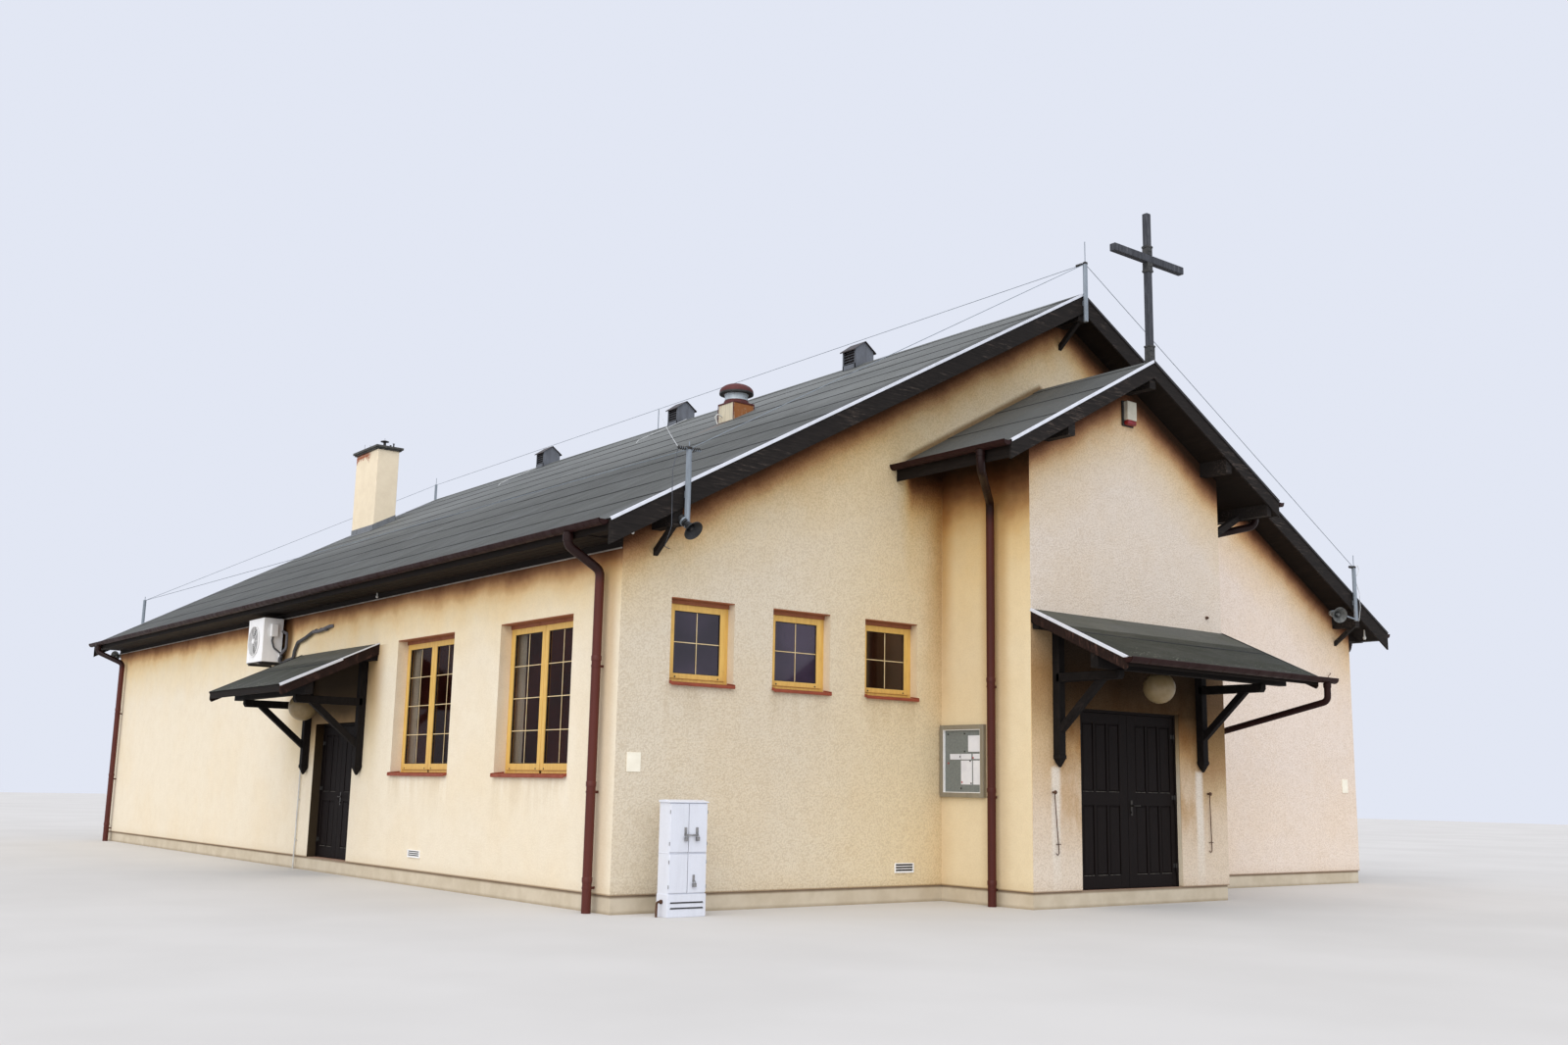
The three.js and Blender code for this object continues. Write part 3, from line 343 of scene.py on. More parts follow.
def sill_runs(m, place):
    """Soft grey drips that have run down under each sill, with pale ones under the tall windows."""
    drip = m.noise(1.0, 3.0, 0.6, (4.5, 4.5, 0.6))
    y, z = place[1:]
    for names, axis, dark, pale in ((SMALL_WINDOWS, 0, 0.30, 0.0), (LEFT_WINDOWS, 1, 0.28, 0.16)):
        runs = 0.0
        for name in names:
            low, high = local_box(name)
            reach = m.band(place[axis], low[axis], high[axis], 0.12) * m.smooth(z, low.z - 0.70, low.z)
            runs = reach * (z < low.z + 0.02) * (y < high.y + 0.5) | runs
        m.stain(runs * m.smooth(drip, 0.40, 0.66) * dark, (0.66, 0.57, 0.43))
        if pale:
            m.lay(runs * m.smooth(drip, 0.52, 0.36) * pale, (0.97, 0.93, 0.84))


def door_stains_and_shade(m, x, y, z, wander):
    """Painted shade that deepens up the porch front towards the canopy, brown weathering beside the main
    door, and a washed stripe under each bracket post.
    """
    porch_face = (y < PORCH_FRONT + 0.01) * m.smooth(z, 2.9, 3.4, 1.0, 0.0)
    # Painted shade, warm-tinted, deepening up the porch front towards the canopy.
    m.stain(porch_face * m.smooth(z, 0.4, 2.2, 0.15, 0.80), (0.97, 0.83, 0.62))
    blotch = m.smooth(m.noise(1.9, 4.0, 0.6, (1.6, 1.6, 0.8)), 0.36, 0.66, 0.15, 0.75)
    near = m.smooth(abs(x + 0.533), 2.0, 1.15, 0.10, 1.0) * m.smooth(z, 0.5, 1.3)
    height = m.smooth(z, 1.74, 1.80, 1.0, 0.0) * m.smooth(z, 0.1, 1.0, 0.25, 1.0) * porch_face
    left, right = (m.smooth(abs(x - (post - 0.02) + wander * 0.05), 0.040, 0.115, 1.0, 0.0)
                   for post in CANOPIES["main"]["posts"])
    stripes = (left + right) * height
    m.stain(porch_face * blotch * near * (1.0 - stripes), (0.70, 0.53, 0.33))
    m.lay(stripes * 0.75, (0.86, 0.79, 0.69))


def plaster():
    """Dashed plaster: rough and grey at the front, smooth at the sides, with ochre staining and painted
    shade darkening it up to the roof.
    """
    m = Material("wall_plaster", (0.86, 0.765, 0.600), roughness=0.93, specular=0.12)
    x, y, z = m.axes()
    nx, ny = m.normal()[:2]
    front = m.smooth(ny, -0.4, -0.8) * (y < 0.03)
    porch_front = front * (y < PORCH_START)
    off_porch = abs(x - PORCH_CENTRE)
    m.lay(front, (0.735, 0.648, 0.508))
    m.lay(porch_front, (0.765, 0.672, 0.570))
    m.lay(front * (x > PORCH_RIGHT), (0.855, 0.738, 0.638))
    near_corner = m.smooth(off_porch, 5.2, 2.3) * m.smooth(x, 0.0, -2.3) * m.smooth(z, 6.9, 5.6) * (y < 0.5)
    m.lay(near_corner * (1.0 - porch_front) * 0.75, (0.81, 0.665, 0.415))
    m.stain(front * m.smooth(z, 2.2, 0.6), (1.05, 1.05, 1.04))
    m.stain(m.smooth(m.noise(0.45, 4.0, 0.6), 0.40, 0.70, 0.0, 0.30), (0.97, 0.87, 0.70))
    mottle = m.noise(5.0, 5.0, 0.65)
    m.stain(m.smooth(mottle, 0.35, 0.72, 0.0, 0.30), (0.88, 0.85, 0.80))

    wander = m.noise(1.3, 3.0, 0.6) * 0.9 - 0.45
    down = overhead(m, x, y, z, nx)
    down = down + wander * m.smooth(down, 0.1, 0.9, 0.10, 0.75) + mottle * 0.10 - 0.05
    # Painted shade with some staining: ochre, then brown, then near black right under the eaves, for the
    # overhang's shadow.
    m.stain(1.0, m.ramp(down, (0.10, (0.05, 0.028, 0.018)), (0.20, (0.15, 0.070, 0.040)),
                        (0.30, (0.38, 0.21, 0.125)), (0.40, (0.71, 0.47, 0.27)), (0.52, (0.95, 0.77, 0.52)),
                        (0.66, (1.0, 0.89, 0.69)), (0.90, (1.0, 0.95, 0.84)), (1.50, (1.0, 1.0, 1.0))))
    corner_dirt_and_shade(m, x, y, z, off_porch, wander)
    canopy_painted_shade(m, x, y, z, wander)
    sill_runs(m, (x, y, z))
    door_stains_and_shade(m, x, y, z, wander)
    m.stain(m.smooth(z + mottle * 0.30 - 0.15, FLOOR - 0.02, FLOOR + 0.16, 0.30, 0.0), (0.74, 0.67, 0.56))
    # Painted shadow: a dark line along the foot of the plaster, over the plinth.
    m.stain(m.smooth(z, FLOOR + 0.006, FLOOR + 0.022, 0.7, 0.0), (0.40, 0.30, 0.22))

    crumbs = m.cells(46.0)
    grit = m.noise(38.0, 3.0, 0.75)
    rough = front * 0.72 + 0.28
    m.stain(m.smooth(crumbs, 0.42, 0.70) * rough * 0.55, (0.80, 0.76, 0.71))
    m.stain(m.smooth(grit, 0.52, 0.72) * rough * 0.5, (1.20, 1.19, 1.17))
    indoors = (abs(x) < HALF_WIDTH - WALL) * (y > WALL) * (y < LENGTH - WALL)
    in_porch = m.band(x, PORCH_LEFT + WALL, PORCH_RIGHT - WALL, 0.001)
    in_porch = in_porch * m.band(y, PORCH_FRONT + WALL, 0.41, 0.001)
    under_roof = z < off_porch * -SLOPE + PORCH_RIDGE
    m.lay(indoors | in_porch * under_roof, (0.30, 0.24, 0.20))
    return m.done((crumbs * 0.8 + grit) * rough, 0.010, 0.6)


def plinth_stone():
    m = Material("plinth_render", (0.57, 0.485, 0.355), roughness=0.92, specular=0.15)
    x, y, z = m.axes()
    upwards = m.normal()[2]
    blotch = m.noise(3.0, 5.0, 0.6)
    m.lay(m.smooth(blotch, 0.3, 0.7), (0.66, 0.575, 0.44))
    # Painted shadow along the top of the plinth, under the plaster.
    m.stain(m.smooth(z, FLOOR - 0.045, FLOOR - 0.015, 0.0, 0.75), (0.30, 0.22, 0.17))
    m.stain(m.smooth(z, 0.05, 0.0, 0.0, 0.6), (0.50, 0.44, 0.36))
    half_tile = 0.165
    joints = m.math("PINGPONG", x, half_tile) | m.math("PINGPONG", y, half_tile)
    tiles = m.mix(blotch, (0.42, 0.24, 0.16), (0.55, 0.34, 0.24))
    m.lay(upwards > 0.5, m.mix(joints > half_tile - 0.004, tiles, (0.30, 0.27, 0.23)))
    return m.done(m.noise(60.0, 4.0, 0.65), 0.006, 0.5)


def felt(name, moss=0.0, seam=None):
    """Mineral bitumen felt: grey grit and damp patches, with moss below the height of a seam."""
    m = Material(name, (0.062, 0.065, 0.060), roughness=0.78, specular=0.2 if moss else 0.5)
    x, y, z = m.axes()
    grit = m.noise(260.0, 2.0, 0.8)
    worn = m.noise(2.2, 6.0, 0.7, (0.6, 1.5, 0.6))
    m.lay(m.smooth(m.noise(0.5, 4.0, 0.6, (1.0, 0.35, 1.0)), 0.3, 0.72), (0.106, 0.109, 0.103))
    m.lay(m.smooth(worn, 0.52, 0.75, 0.0, 0.45), (0.160, 0.163, 0.155))
    m.lay(m.smooth(grit, 0.35, 0.7, 0.0, 0.35), (0.20, 0.20, 0.19))
    if moss:
        green = m.noise(1.4, 5.0, 0.6)
        m.lay(m.smooth(green, 0.30, 0.66, 0.25, 0.65), (0.075, 0.075, 0.050))
        m.lay(m.smooth(green * 0.05 + z, seam + 0.03, seam + 0.05, 1.0, 0.0) * moss, (0.017, 0.019, 0.011))
        spots = m.cells(24.0) < m.noise(5.0) * 0.40 - 0.06
        m.lay(spots * m.smooth(z - m.noise(2.0, 3.0) * 0.5, seam - 0.45, seam - 0.70), (0.42, 0.44, 0.34))
    else:
        tone = m.ramp(m.noise(0.8, 4.0, 0.6) * 1.3 + (z - 0.65), (4.6, (0.50, 0.51, 0.46)),
                      (6.3, (0.62, 0.63, 0.58)), (7.1, (1.12, 1.14, 1.12)), (8.6, (1.34, 1.36, 1.36)))
        m.stain(1.0, m.mix(y < PORCH_START, tone, (0.68, 0.69, 0.67)))
        # Painted sheen: paler patches up the slope, for the sky's gloss on the felt.
        sheen = m.smooth(m.noise(0.9, 5.0, 0.65, (1.0, 0.5, 1.0)), 0.60, 0.74) * m.smooth(y, 2.0, 9.0)
        m.lay(sheen * 0.4, (0.24, 0.25, 0.26))
        below_fan = m.band(worn * 0.10 + y, 5.36, 5.50, 0.05) * m.smooth(x, -3.3, -2.36) * (x < -2.30)
        m.lay(below_fan * 0.45, (0.24, 0.105, 0.040))
    return m.done(grit * 0.5 + m.noise(14.0, 4.0, 0.6), 0.006, 0.6, m.smooth(worn, 0.3, 0.8, 0.58, 0.86))


def timber(name, along, dark, worn, wear=0.3, roughness=0.75):
    """Stained timber; along is the stretch that runs its grain down the wood."""
    m = Material(name, dark, roughness=roughness, specular=0.10)
    grain = m.noise(3.0, 6.0, 0.7, along, 0.6)
    m.lay(m.smooth(grain, 0.3, 0.7), shade(dark, 2.0))
    m.lay(m.smooth(grain, 0.52, 0.66) * m.smooth(m.noise(1.6, 4.0, 0.6), 0.45, 0.65) * wear, worn)
    return m.done(grain, 0.004, 0.6, m.smooth(grain, 0.2, 0.8, roughness - 0.12, roughness + 0.12))


def coated(name, colour, dirt, roughness=0.45, metallic=0.0, amount=0.35, specular=0.5, painted_shade_heights=None):
    """Painted or coated metal with rain marks and a little dust, and painted shade, a darker copy of its
    colour, from one height up to another.
    """
    m = Material(name, colour, roughness=roughness, metallic=metallic, specular=specular)
    marks = m.noise(2.0, 5.0, 0.65, (4.0, 4.0, 0.7))
    fine = m.noise(38.0, 3.0, 0.6)
    m.lay(m.smooth(marks, 0.42, 0.75, 0.0, amount), dirt)
    m.lay(m.smooth(fine, 0.45, 0.8, 0.0, amount * 0.5), dirt)
    # Painted shade: a near-black copy of the colour above these heights.
    if painted_shade_heights:
        m.lay(m.smooth(m.axes()[2], *painted_shade_heights), shade(colour, 0.16))
    return m.done(fine, 0.0012, 0.4, m.smooth(marks, 0.3, 0.8, roughness - 0.06, roughness + 0.2))


def rusty(name, colour, rust, amount, more=0.0):
    """Painted steel with rust, and more of it on the side to the front."""
    m = Material(name, colour, roughness=0.6, metallic=0.2, specular=0.4)
    blotch = m.noise(5.0, 6.0, 0.7)
    runs = m.noise(4.0, 4.0, 0.6, (5.0, 5.0, 0.6))
    height = blotch * 0.6 + runs * 0.5 + m.smooth(m.normal()[1], -0.3, -0.7) * more
    m.lay(m.smooth(runs, 0.4, 0.7), shade(colour, 0.8))
    m.lay(m.smooth(height, 0.62 - amount, 0.72 - amount * 0.5), m.mix(blotch, rust, shade(rust, 1.6)))
    return m.done(blotch, 0.002, 0.5)


def window_paint():
    m = Material("window_paint", (0.70, 0.42, 0.10), roughness=0.5, specular=0.4)
    grain = m.noise(3.0, 5.0, 0.6, (9.0, 9.0, 1.2))
    m.lay(m.smooth(grain, 0.3, 0.7), (0.80, 0.51, 0.13))
    m.lay(m.smooth(m.noise(6.0, 5.0, 0.65), 0.55, 0.8, 0.0, 0.4), (0.40, 0.22, 0.06))
    return m.done(grain, 0.001, 0.4)


def window_glass(name, tint, alpha, specular=0.45):
    m = Material(name, tint, roughness=0.06, specular=specular)
    # Painted reflection and painted gloom from behind the pane: the tint, with darker patches, covers it as
    # far as alpha sets.
    m.lay(m.smooth(m.noise(0.9, 3.0, 0.5), 0.35, 0.65), shade(tint, 0.35))
    m.shader.inputs["Alpha"].default_value = alpha
    return m.done(m.noise(1.7, 2.0, 0.4), 0.004, 0.12)


def plain(name, colour, other, scale=20.0, roughness=0.6, metallic=0.0, bump=0.001):
    m = Material(name, colour, roughness=roughness, metallic=metallic, specular=0.4)
    spread = m.noise(scale, 4.0, 0.6)
    m.lay(m.smooth(spread, 0.3, 0.7), other)
    return m.done(spread, bump, 0.5)


def curtain_cloth():
    m = Material("curtain_cloth", (0.80, 0.70, 0.52), roughness=0.9, specular=0.1)
    m.lay(m.smooth(m.noise(3.0), 0.3, 0.7), (0.88, 0.78, 0.60))
    m.shader.inputs["Sheen Weight"].default_value = 0.2
    weave = m.noise(300.0, 1.0, 0.5, (1, 1, 0.1)) + m.noise(300.0, 1.0, 0.5, (0.1, 0.1, 1))
    return m.done(weave, 0.001, 0.5)


def chimney_plaster():
    """Cream plaster that has fallen off the bricks below the cap, on the face to the left."""
    m = Material("chimney_plaster", (0.92, 0.79, 0.58), roughness=0.92, specular=0.15)
    y, z = m.axes()[1:]
    mottle = m.noise(3.5, 5.0, 0.65)
    m.lay(m.smooth(mottle, 0.3, 0.72, 0.0, 0.6), (0.80, 0.67, 0.48))
    down = local_box("chimney")[1].z - 0.09 - z
    hole = m.smooth(down + mottle * 0.7 - 0.35, 0.10, 0.20, 1.0, 0.0)
    hole = hole * (m.normal()[0] < -0.5) * m.smooth(y, 20.45, 20.75)
    rows = m.math("PINGPONG", z, 0.0375)
    m.lay(hole, m.mix(rows > 0.031, (0.40, 0.13, 0.065), (0.45, 0.38, 0.30)))
    return m.done(m.noise(60.0, 4.0, 0.65) - hole * 1.2, 0.006, 0.6)


def roof_sheet(name, colour, dirt):
    return coated(name, colour, dirt, roughness=0.5, metallic=0.35, amount=0.4)


PLASTER = plaster()
PLINTH = plinth_stone()
FELT = felt("roof_felt_grey")
MAIN_CANOPY_FELT = felt("main_canopy_felt", moss=0.80, seam=3.50)
SIDE_CANOPY_FELT = felt("side_canopy_felt", moss=0.55, seam=3.20)
BARGE = timber("barge_timber", (1.2, 14.0, 14.0), (0.0125, 0.0105, 0.0095), (0.13, 0.100, 0.082), 0.55)
BEAM = timber("beam_timber", (14.0, 2.0, 2.0), (0.0075, 0.0062, 0.0058), (0.050, 0.038, 0.032))
CROSS_TIMBER = timber("cross_timber", (16.0, 16.0, 1.3), (0.042, 0.044, 0.050), (0.17, 0.17, 0.17), 0.40)
DOOR_TIMBER = timber("door_timber", (16.0, 16.0, 1.0), (0.0062, 0.0042, 0.0038), (0.026, 0.018, 0.015),
                     roughness=0.65)
SOFFIT = timber("soffit_timber", (10.0, 1.0, 10.0), (0.0095, 0.0070, 0.0056), (0.045, 0.033, 0.026))
WORN_VERGE = timber("worn_verge_timber", (2.0, 9.0, 2.0), (0.014, 0.0075, 0.006), (0.13, 0.065, 0.048),
                    wear=0.55)
# Painted shade: the gutters and the canopy's pipe take a near-black copy of the pipes' brown, for the
# shadow they hang in.
GUTTER = coated("gutter_steel", (0.024, 0.0075, 0.0065), (0.012, 0.006, 0.005), 0.5, specular=0.12)
# The pipes' tops are painted dark for the shade under the eaves.
HALL_PIPE = coated("hall_pipe_steel", (0.100, 0.020, 0.013), (0.045, 0.015, 0.011), specular=0.28,
                   painted_shade_heights=(3.72, 3.95))
PORCH_PIPE = coated("porch_pipe_steel", (0.075, 0.015, 0.010), (0.035, 0.012, 0.009), specular=0.22,
                    painted_shade_heights=(4.90, 5.20))
SILL = coated("sill_steel", (0.30, 0.065, 0.032), (0.13, 0.035, 0.022), 0.5, specular=0.25)
HEAD_LINING = coated("head_lining_steel", (0.34, 0.125, 0.060), (0.20, 0.070, 0.035), 0.6, specular=0.2)
FLASHING = coated("verge_flashing", (0.76, 0.78, 0.84), (0.46, 0.47, 0.50), metallic=0.1)
DARK_VERGE = coated("dark_verge_flashing", (0.022, 0.020, 0.020), (0.055, 0.050, 0.046), 0.5, specular=0.25)
WHITE_METAL = coated("white_powder_coat", (0.95, 0.94, 0.92), (0.62, 0.60, 0.54), amount=0.18)
CABINET = coated("cabinet_coat", (0.74, 0.76, 0.82), (0.50, 0.50, 0.52), amount=0.2)
ALUMINIUM = coated("aluminium_frame", (0.34, 0.315, 0.26), (0.20, 0.18, 0.14), roughness=0.4, metallic=0.6)
MAST_METAL = roof_sheet("mast_metal", (0.26, 0.30, 0.34), (0.12, 0.13, 0.145))
VENT_SHELL = roof_sheet("vent_shell_steel", (0.15, 0.16, 0.18), (0.085, 0.085, 0.090))
FAN_DRUM = roof_sheet("fan_drum_steel", (0.60, 0.66, 0.70), (0.30, 0.31, 0.32))
CHIMNEY_FLASHING = roof_sheet("chimney_flashing", (0.20, 0.21, 0.22), (0.12, 0.12, 0.12))
FAN_BOX = rusty("fan_box_steel", (0.70, 0.62, 0.45), (0.27, 0.10, 0.028), 0.02, more=0.22)
FAN_CAP = rusty("fan_cap_paint", (0.115, 0.028, 0.026), (0.050, 0.020, 0.016), 0.05)
WINDOW = window_paint()
# The panes' tints are painted reflection and painted gloom from indoors; the front panes are all but
# opaque.
GLASS_SIDE = window_glass("glass_side", (0.050, 0.012, 0.009), 0.34, specular=0.12)
GLASS_FRONT = window_glass("glass_front", (0.060, 0.042, 0.070), 0.90)
GLASS_DARK = window_glass("glass_dark", (0.052, 0.020, 0.010), 0.92)
CLOTH = curtain_cloth()
CHIMNEY = chimney_plaster()
BITUMEN = plain("bitumen_bleed", (0.010, 0.010, 0.010), (0.022, 0.022, 0.021), 30.0, 0.7)
WIRE_METAL = plain("wire_metal", (0.72, 0.73, 0.72), (0.58, 0.59, 0.58), 10.0, 0.5, 0.3)
WIRE_DARK = plain("wire_dark", (0.11, 0.12, 0.14), (0.06, 0.065, 0.075), 10.0, 0.6, 0.3)
DARK_METAL = plain("dark_metal", (0.025, 0.024, 0.024), (0.050, 0.046, 0.042), roughness=0.55, metallic=0.4)
# Painted shade: the globes' dim brown stands for the shadow of the canopies over them.
OPAL = plain("opal_globe", (0.31, 0.23, 0.12), (0.24, 0.17, 0.08), 6.0, 0.35, bump=0.0005)
CAP_CONCRETE = plain("cap_concrete", (0.045, 0.045, 0.042), (0.11, 0.105, 0.095), 9.0, 0.9, bump=0.006)
HORN = plain("horn_plastic", (0.014, 0.015, 0.016), (0.030, 0.031, 0.032), roughness=0.5)
HORN_GREY = plain("horn_grey_plastic", (0.085, 0.088, 0.085), (0.15, 0.155, 0.15), roughness=0.5)
PLATE_CREAM = plain("plate_cream", (0.98, 0.92, 0.76), (0.90, 0.84, 0.68), 7.0, 0.45)
SIREN_WHITE = plain("siren_shell", (0.70, 0.66, 0.54), (0.58, 0.54, 0.43), 7.0, 0.45)
SIREN_RED = plain("siren_lens", (0.30, 0.015, 0.020), (0.20, 0.010, 0.015), 12.0, 0.3)
PAPER = plain("paper", (0.78, 0.78, 0.80), (0.68, 0.68, 0.72), 5.0, 0.9)
BOARD_BACK = plain("board_back", (0.16, 0.175, 0.165), (0.20, 0.215, 0.20), 40.0, 0.9)
PIPE_WRAP = plain("pipe_wrap", (0.20, 0.19, 0.20), (0.10, 0.10, 0.11), 60.0, 0.8, bump=0.004)
WHITE_PIPE = plain("white_pipe", (0.70, 0.70, 0.66), (0.55, 0.54, 0.50), 6.0, 0.45)
GLAZING_BAR = plain("glazing_bar", (0.80, 0.65, 0.38), (0.70, 0.52, 0.25), 12.0, 0.5)
# Paler bead wood: painted highlight along the panel edges, with some wear.
DOOR_WORN_AND_HIGHLIGHT = plain("door_worn_edge_and_highlight", (0.15, 0.135, 0.11), (0.012, 0.010, 0.009), 26.0, 0.7)
COVER_STRIP = plain("cover_strip", (0.34, 0.30, 0.26), (0.20, 0.17, 0.14), 3.0, 0.7)
CROSS_IRON = plain("cross_ironwork", (0.030, 0.031, 0.032), (0.070, 0.068, 0.064), 18.0, 0.6, 0.3)
VENT_ROOF = plain("vent_roof_paint", (0.028, 0.020, 0.019), (0.055, 0.040, 0.036), 14.0, 0.5)
PIPE_DARK = plain("hose_dark", (0.045, 0.045, 0.048), (0.085, 0.085, 0.090), 50.0, 0.7)
RUSTED_IRON = plain("rusted_iron", (0.055, 0.030, 0.020), (0.16, 0.075, 0.040), 45.0, 0.8, 0.3)
LOCK_STEEL = plain("lock_steel", (0.22, 0.22, 0.22), (0.36, 0.35, 0.34), 30.0, 0.4, 0.8)
PIN_RED = plain("pin_red", (0.50, 0.03, 0.03), (0.38, 0.02, 0.02), 60.0, 0.35)
BRASS = plain("lock_brass", (0.060, 0.054, 0.046), (0.035, 0.030, 0.026), roughness=0.35, metallic=0.8)


def placed(name, mesh, material):
    """An object of a finished mesh, in the scene."""
    data = bpy.data.meshes.new(name)
    mesh.to_mesh(data)
    mesh.free()
    data.materials.append(material)
    data.shade_smooth()
    piece = bpy.data.objects.new(name, data)
    bpy.context.scene.collection.objects.link(piece)
    return piece


class Shape:
    """Closed solids gathered into one mesh, in the building's own axes."""

    def __init__(self):
        self.mesh = bmesh.new()

    def sweep(self, outline, origin, across, up, along):
        """Prism of an outline of (a, b) points: a runs along across, b along up, depth along along."""
        origin, across, up, along = (Vector(v) for v in (origin, across, up, along))
        ring = [origin + across * a + up * b for a, b in outline]
        return self.frustum(ring, [p + along for p in ring])

    def along_x(self, outline, x, length):
        """Prism of an outline of (y, z) points."""
        return self.sweep(outline, (x, 0, 0), (0, 1, 0), (0, 0, 1), (length, 0, 0))

    def along_y(self, outline, y, length):
        """Prism of an outline of (x, z) points."""
        return self.sweep(outline, (0, y, 0), (1, 0, 0), (0, 0, 1), (0, length, 0))

    def box(self, low, high):
        (x0, y0, z0), (x1, y1, z1) = low, high
        return self.sweep([(0, 0), (x1 - x0, 0), (x1 - x0, y1 - y0), (0, y1 - y0)],
                          (x0, y0, z0), (1, 0, 0), (0, 1, 0), (0, 0, z1 - z0))

    def bar(self, start, end, width, height, across):
        """Rectangular bar between two points, its width along across."""
        start, end, across = Vector(start), Vector(end), Vector(across).normalized()
        along = end - start
        up = along.normalized().cross(across)
        half, tall = width / 2, height / 2
        return self.sweep([(-half, -tall), (half, -tall), (half, tall), (-half, tall)], start, across, up,
                          along)

    def tube(self, points, radius, sides=12):
        """Round tube through points, mitred at each bend."""
        points = [Vector(p) for p in points]
        last = len(points) - 1
        rings = []
        first = (points[1] - points[0]).normalized()
        side = first.orthogonal().normalized()
        for i, point in enumerate(points):
            before = (points[i] - points[i - 1]).normalized() if i else first
            after = (points[i + 1] - points[i]).normalized() if i < last else before
            side = (side - before * side.dot(before)).normalized()
            middle = (before + after).normalized()
            up = before.cross(side)
            ring = []
            for k in range(sides):
                angle = 2 * math.pi * k / sides
                off = (side * math.cos(angle) + up * math.sin(angle)) * radius
                off -= before * (off.dot(middle) / max(before.dot(middle), 0.2))
                ring.append(self.mesh.verts.new(point + off))
            rings.append(ring)
        for a, b in zip(rings, rings[1:]):
            for k in range(sides):
                j = (k + 1) % sides
                self.mesh.faces.new((a[k], a[j], b[j], b[k]))
        self.mesh.faces.new(rings[0][::-1])
        self.mesh.faces.new(rings[-1])
        return self

    def lathe(self, profile, centre, axis=(0, 0, 1), sides=32):
        """Turned solid: (radius, height) points from the axis back to the axis."""
        axis = Vector(axis).normalized()
        side = axis.orthogonal().normalized()
        up = axis.cross(side)
        centre = Vector(centre)
        rings = []
        for radius, height in profile:
            if radius < 1e-6:
                rings.append([self.mesh.verts.new(centre + axis * height)])
                continue
            rings.append([self.mesh.verts.new(
                centre + axis * height + (side * math.cos(t) + up * math.sin(t)) * radius)
                for t in (2 * math.pi * k / sides for k in range(sides))])
        for a, b in zip(rings, rings[1:]):
            for k in range(sides):
                j = (k + 1) % sides
                if len(a) == 1:
                    self.mesh.faces.new((a[0], b[j], b[k]))
                elif len(b) == 1:
                    self.mesh.faces.new((a[k], a[j], b[0]))
                else:
                    self.mesh.faces.new((a[k], a[j], b[j], b[k]))
        return self

    def disc(self, radius, low, high, centre, axis=(0, 0, 1), sides=32):
        """Round plate between two heights on an axis."""
        return self.lathe([(0, low), (radius, low), (radius, high), (0, high)], centre, axis, sides)

    def frustum(self, base, end):
        """Solid between two rings of as many points each, such as a pointed tip or a raised panel."""
        low = [self.mesh.verts.new(p) for p in base]
        high = [self.mesh.verts.new(p) for p in end]
        self.mesh.faces.new(low[::-1])
        self.mesh.faces.new(high)
        for i in range(len(low)):
            j = (i + 1) % len(low)
            self.mesh.faces.new((low[i], low[j], high[j], high[i]))
        return self

    def plate_with_hole(self, low, high, rim, depth):
        """Upright plate facing -x from corner low to corner high, with a hole of rim points, depth deep."""
        (x, y0, z0), (_, y1, z1) = low, high
        centre = sum((Vector(p) for p in rim), Vector()) / len(rim)
        outer = []
        for p in rim:
            away = Vector(p) - centre
            reach = []
            if abs(away.y) > 1e-6:
                reach.append(abs((y1 if away.y > 0 else y0) - centre.y) / abs(away.y))
            if abs(away.z) > 1e-6:
                reach.append(abs((z1 if away.z > 0 else z0) - centre.z) / abs(away.z))
            outer.append(centre + away * min(reach))
        for corner in ((y0, z0), (y0, z1), (y1, z0), (y1, z1)):
            point = Vector((x, *corner))
            near = min(range(len(outer)), key=lambda i: (outer[i] - point).length)
            outer[near] = point
        back = Vector((depth, 0, 0))
        rings = [[self.mesh.verts.new(Vector(p) + shift) for p in points]
                 for points, shift in ((outer, Vector()), (rim, Vector()), (rim, back), (outer, back))]
        for a, b in zip(rings, rings[1:] + rings[:1]):
            for i in range(len(rim)):
                j = (i + 1) % len(rim)
                self.mesh.faces.new((a[i], a[j], b[j], b[i]))
        return self

    def sheet(self, grid, thickness_dir):
        """Closed thin solid from a grid of top points, with its underside thickness_dir away."""
        drop = Vector(thickness_dir)
        top = [[self.mesh.verts.new(p) for p in row] for row in grid]
        low = [[self.mesh.verts.new(Vector(p) + drop) for p in row] for row in grid]
        rows, columns = len(grid), len(grid[0])
        for i in range(rows - 1):
            for j in range(columns - 1):
                self.mesh.faces.new((top[i][j], top[i][j + 1], top[i + 1][j + 1], top[i + 1][j]))
                self.mesh.faces.new((low[i][j], low[i + 1][j], low[i + 1][j + 1], low[i][j + 1]))
        border = [(0, j) for j in range(columns)] + [(i, columns - 1) for i in range(1, rows)]
        border += [(rows - 1, j) for j in range(columns - 2, -1, -1)]
        border += [(i, 0) for i in range(rows - 2, 0, -1)]
        for k, (i, j) in enumerate(border):
            a, b = border[(k + 1) % len(border)]
            self.mesh.faces.new((top[i][j], low[i][j], low[a][b], top[a][b]))
        return self

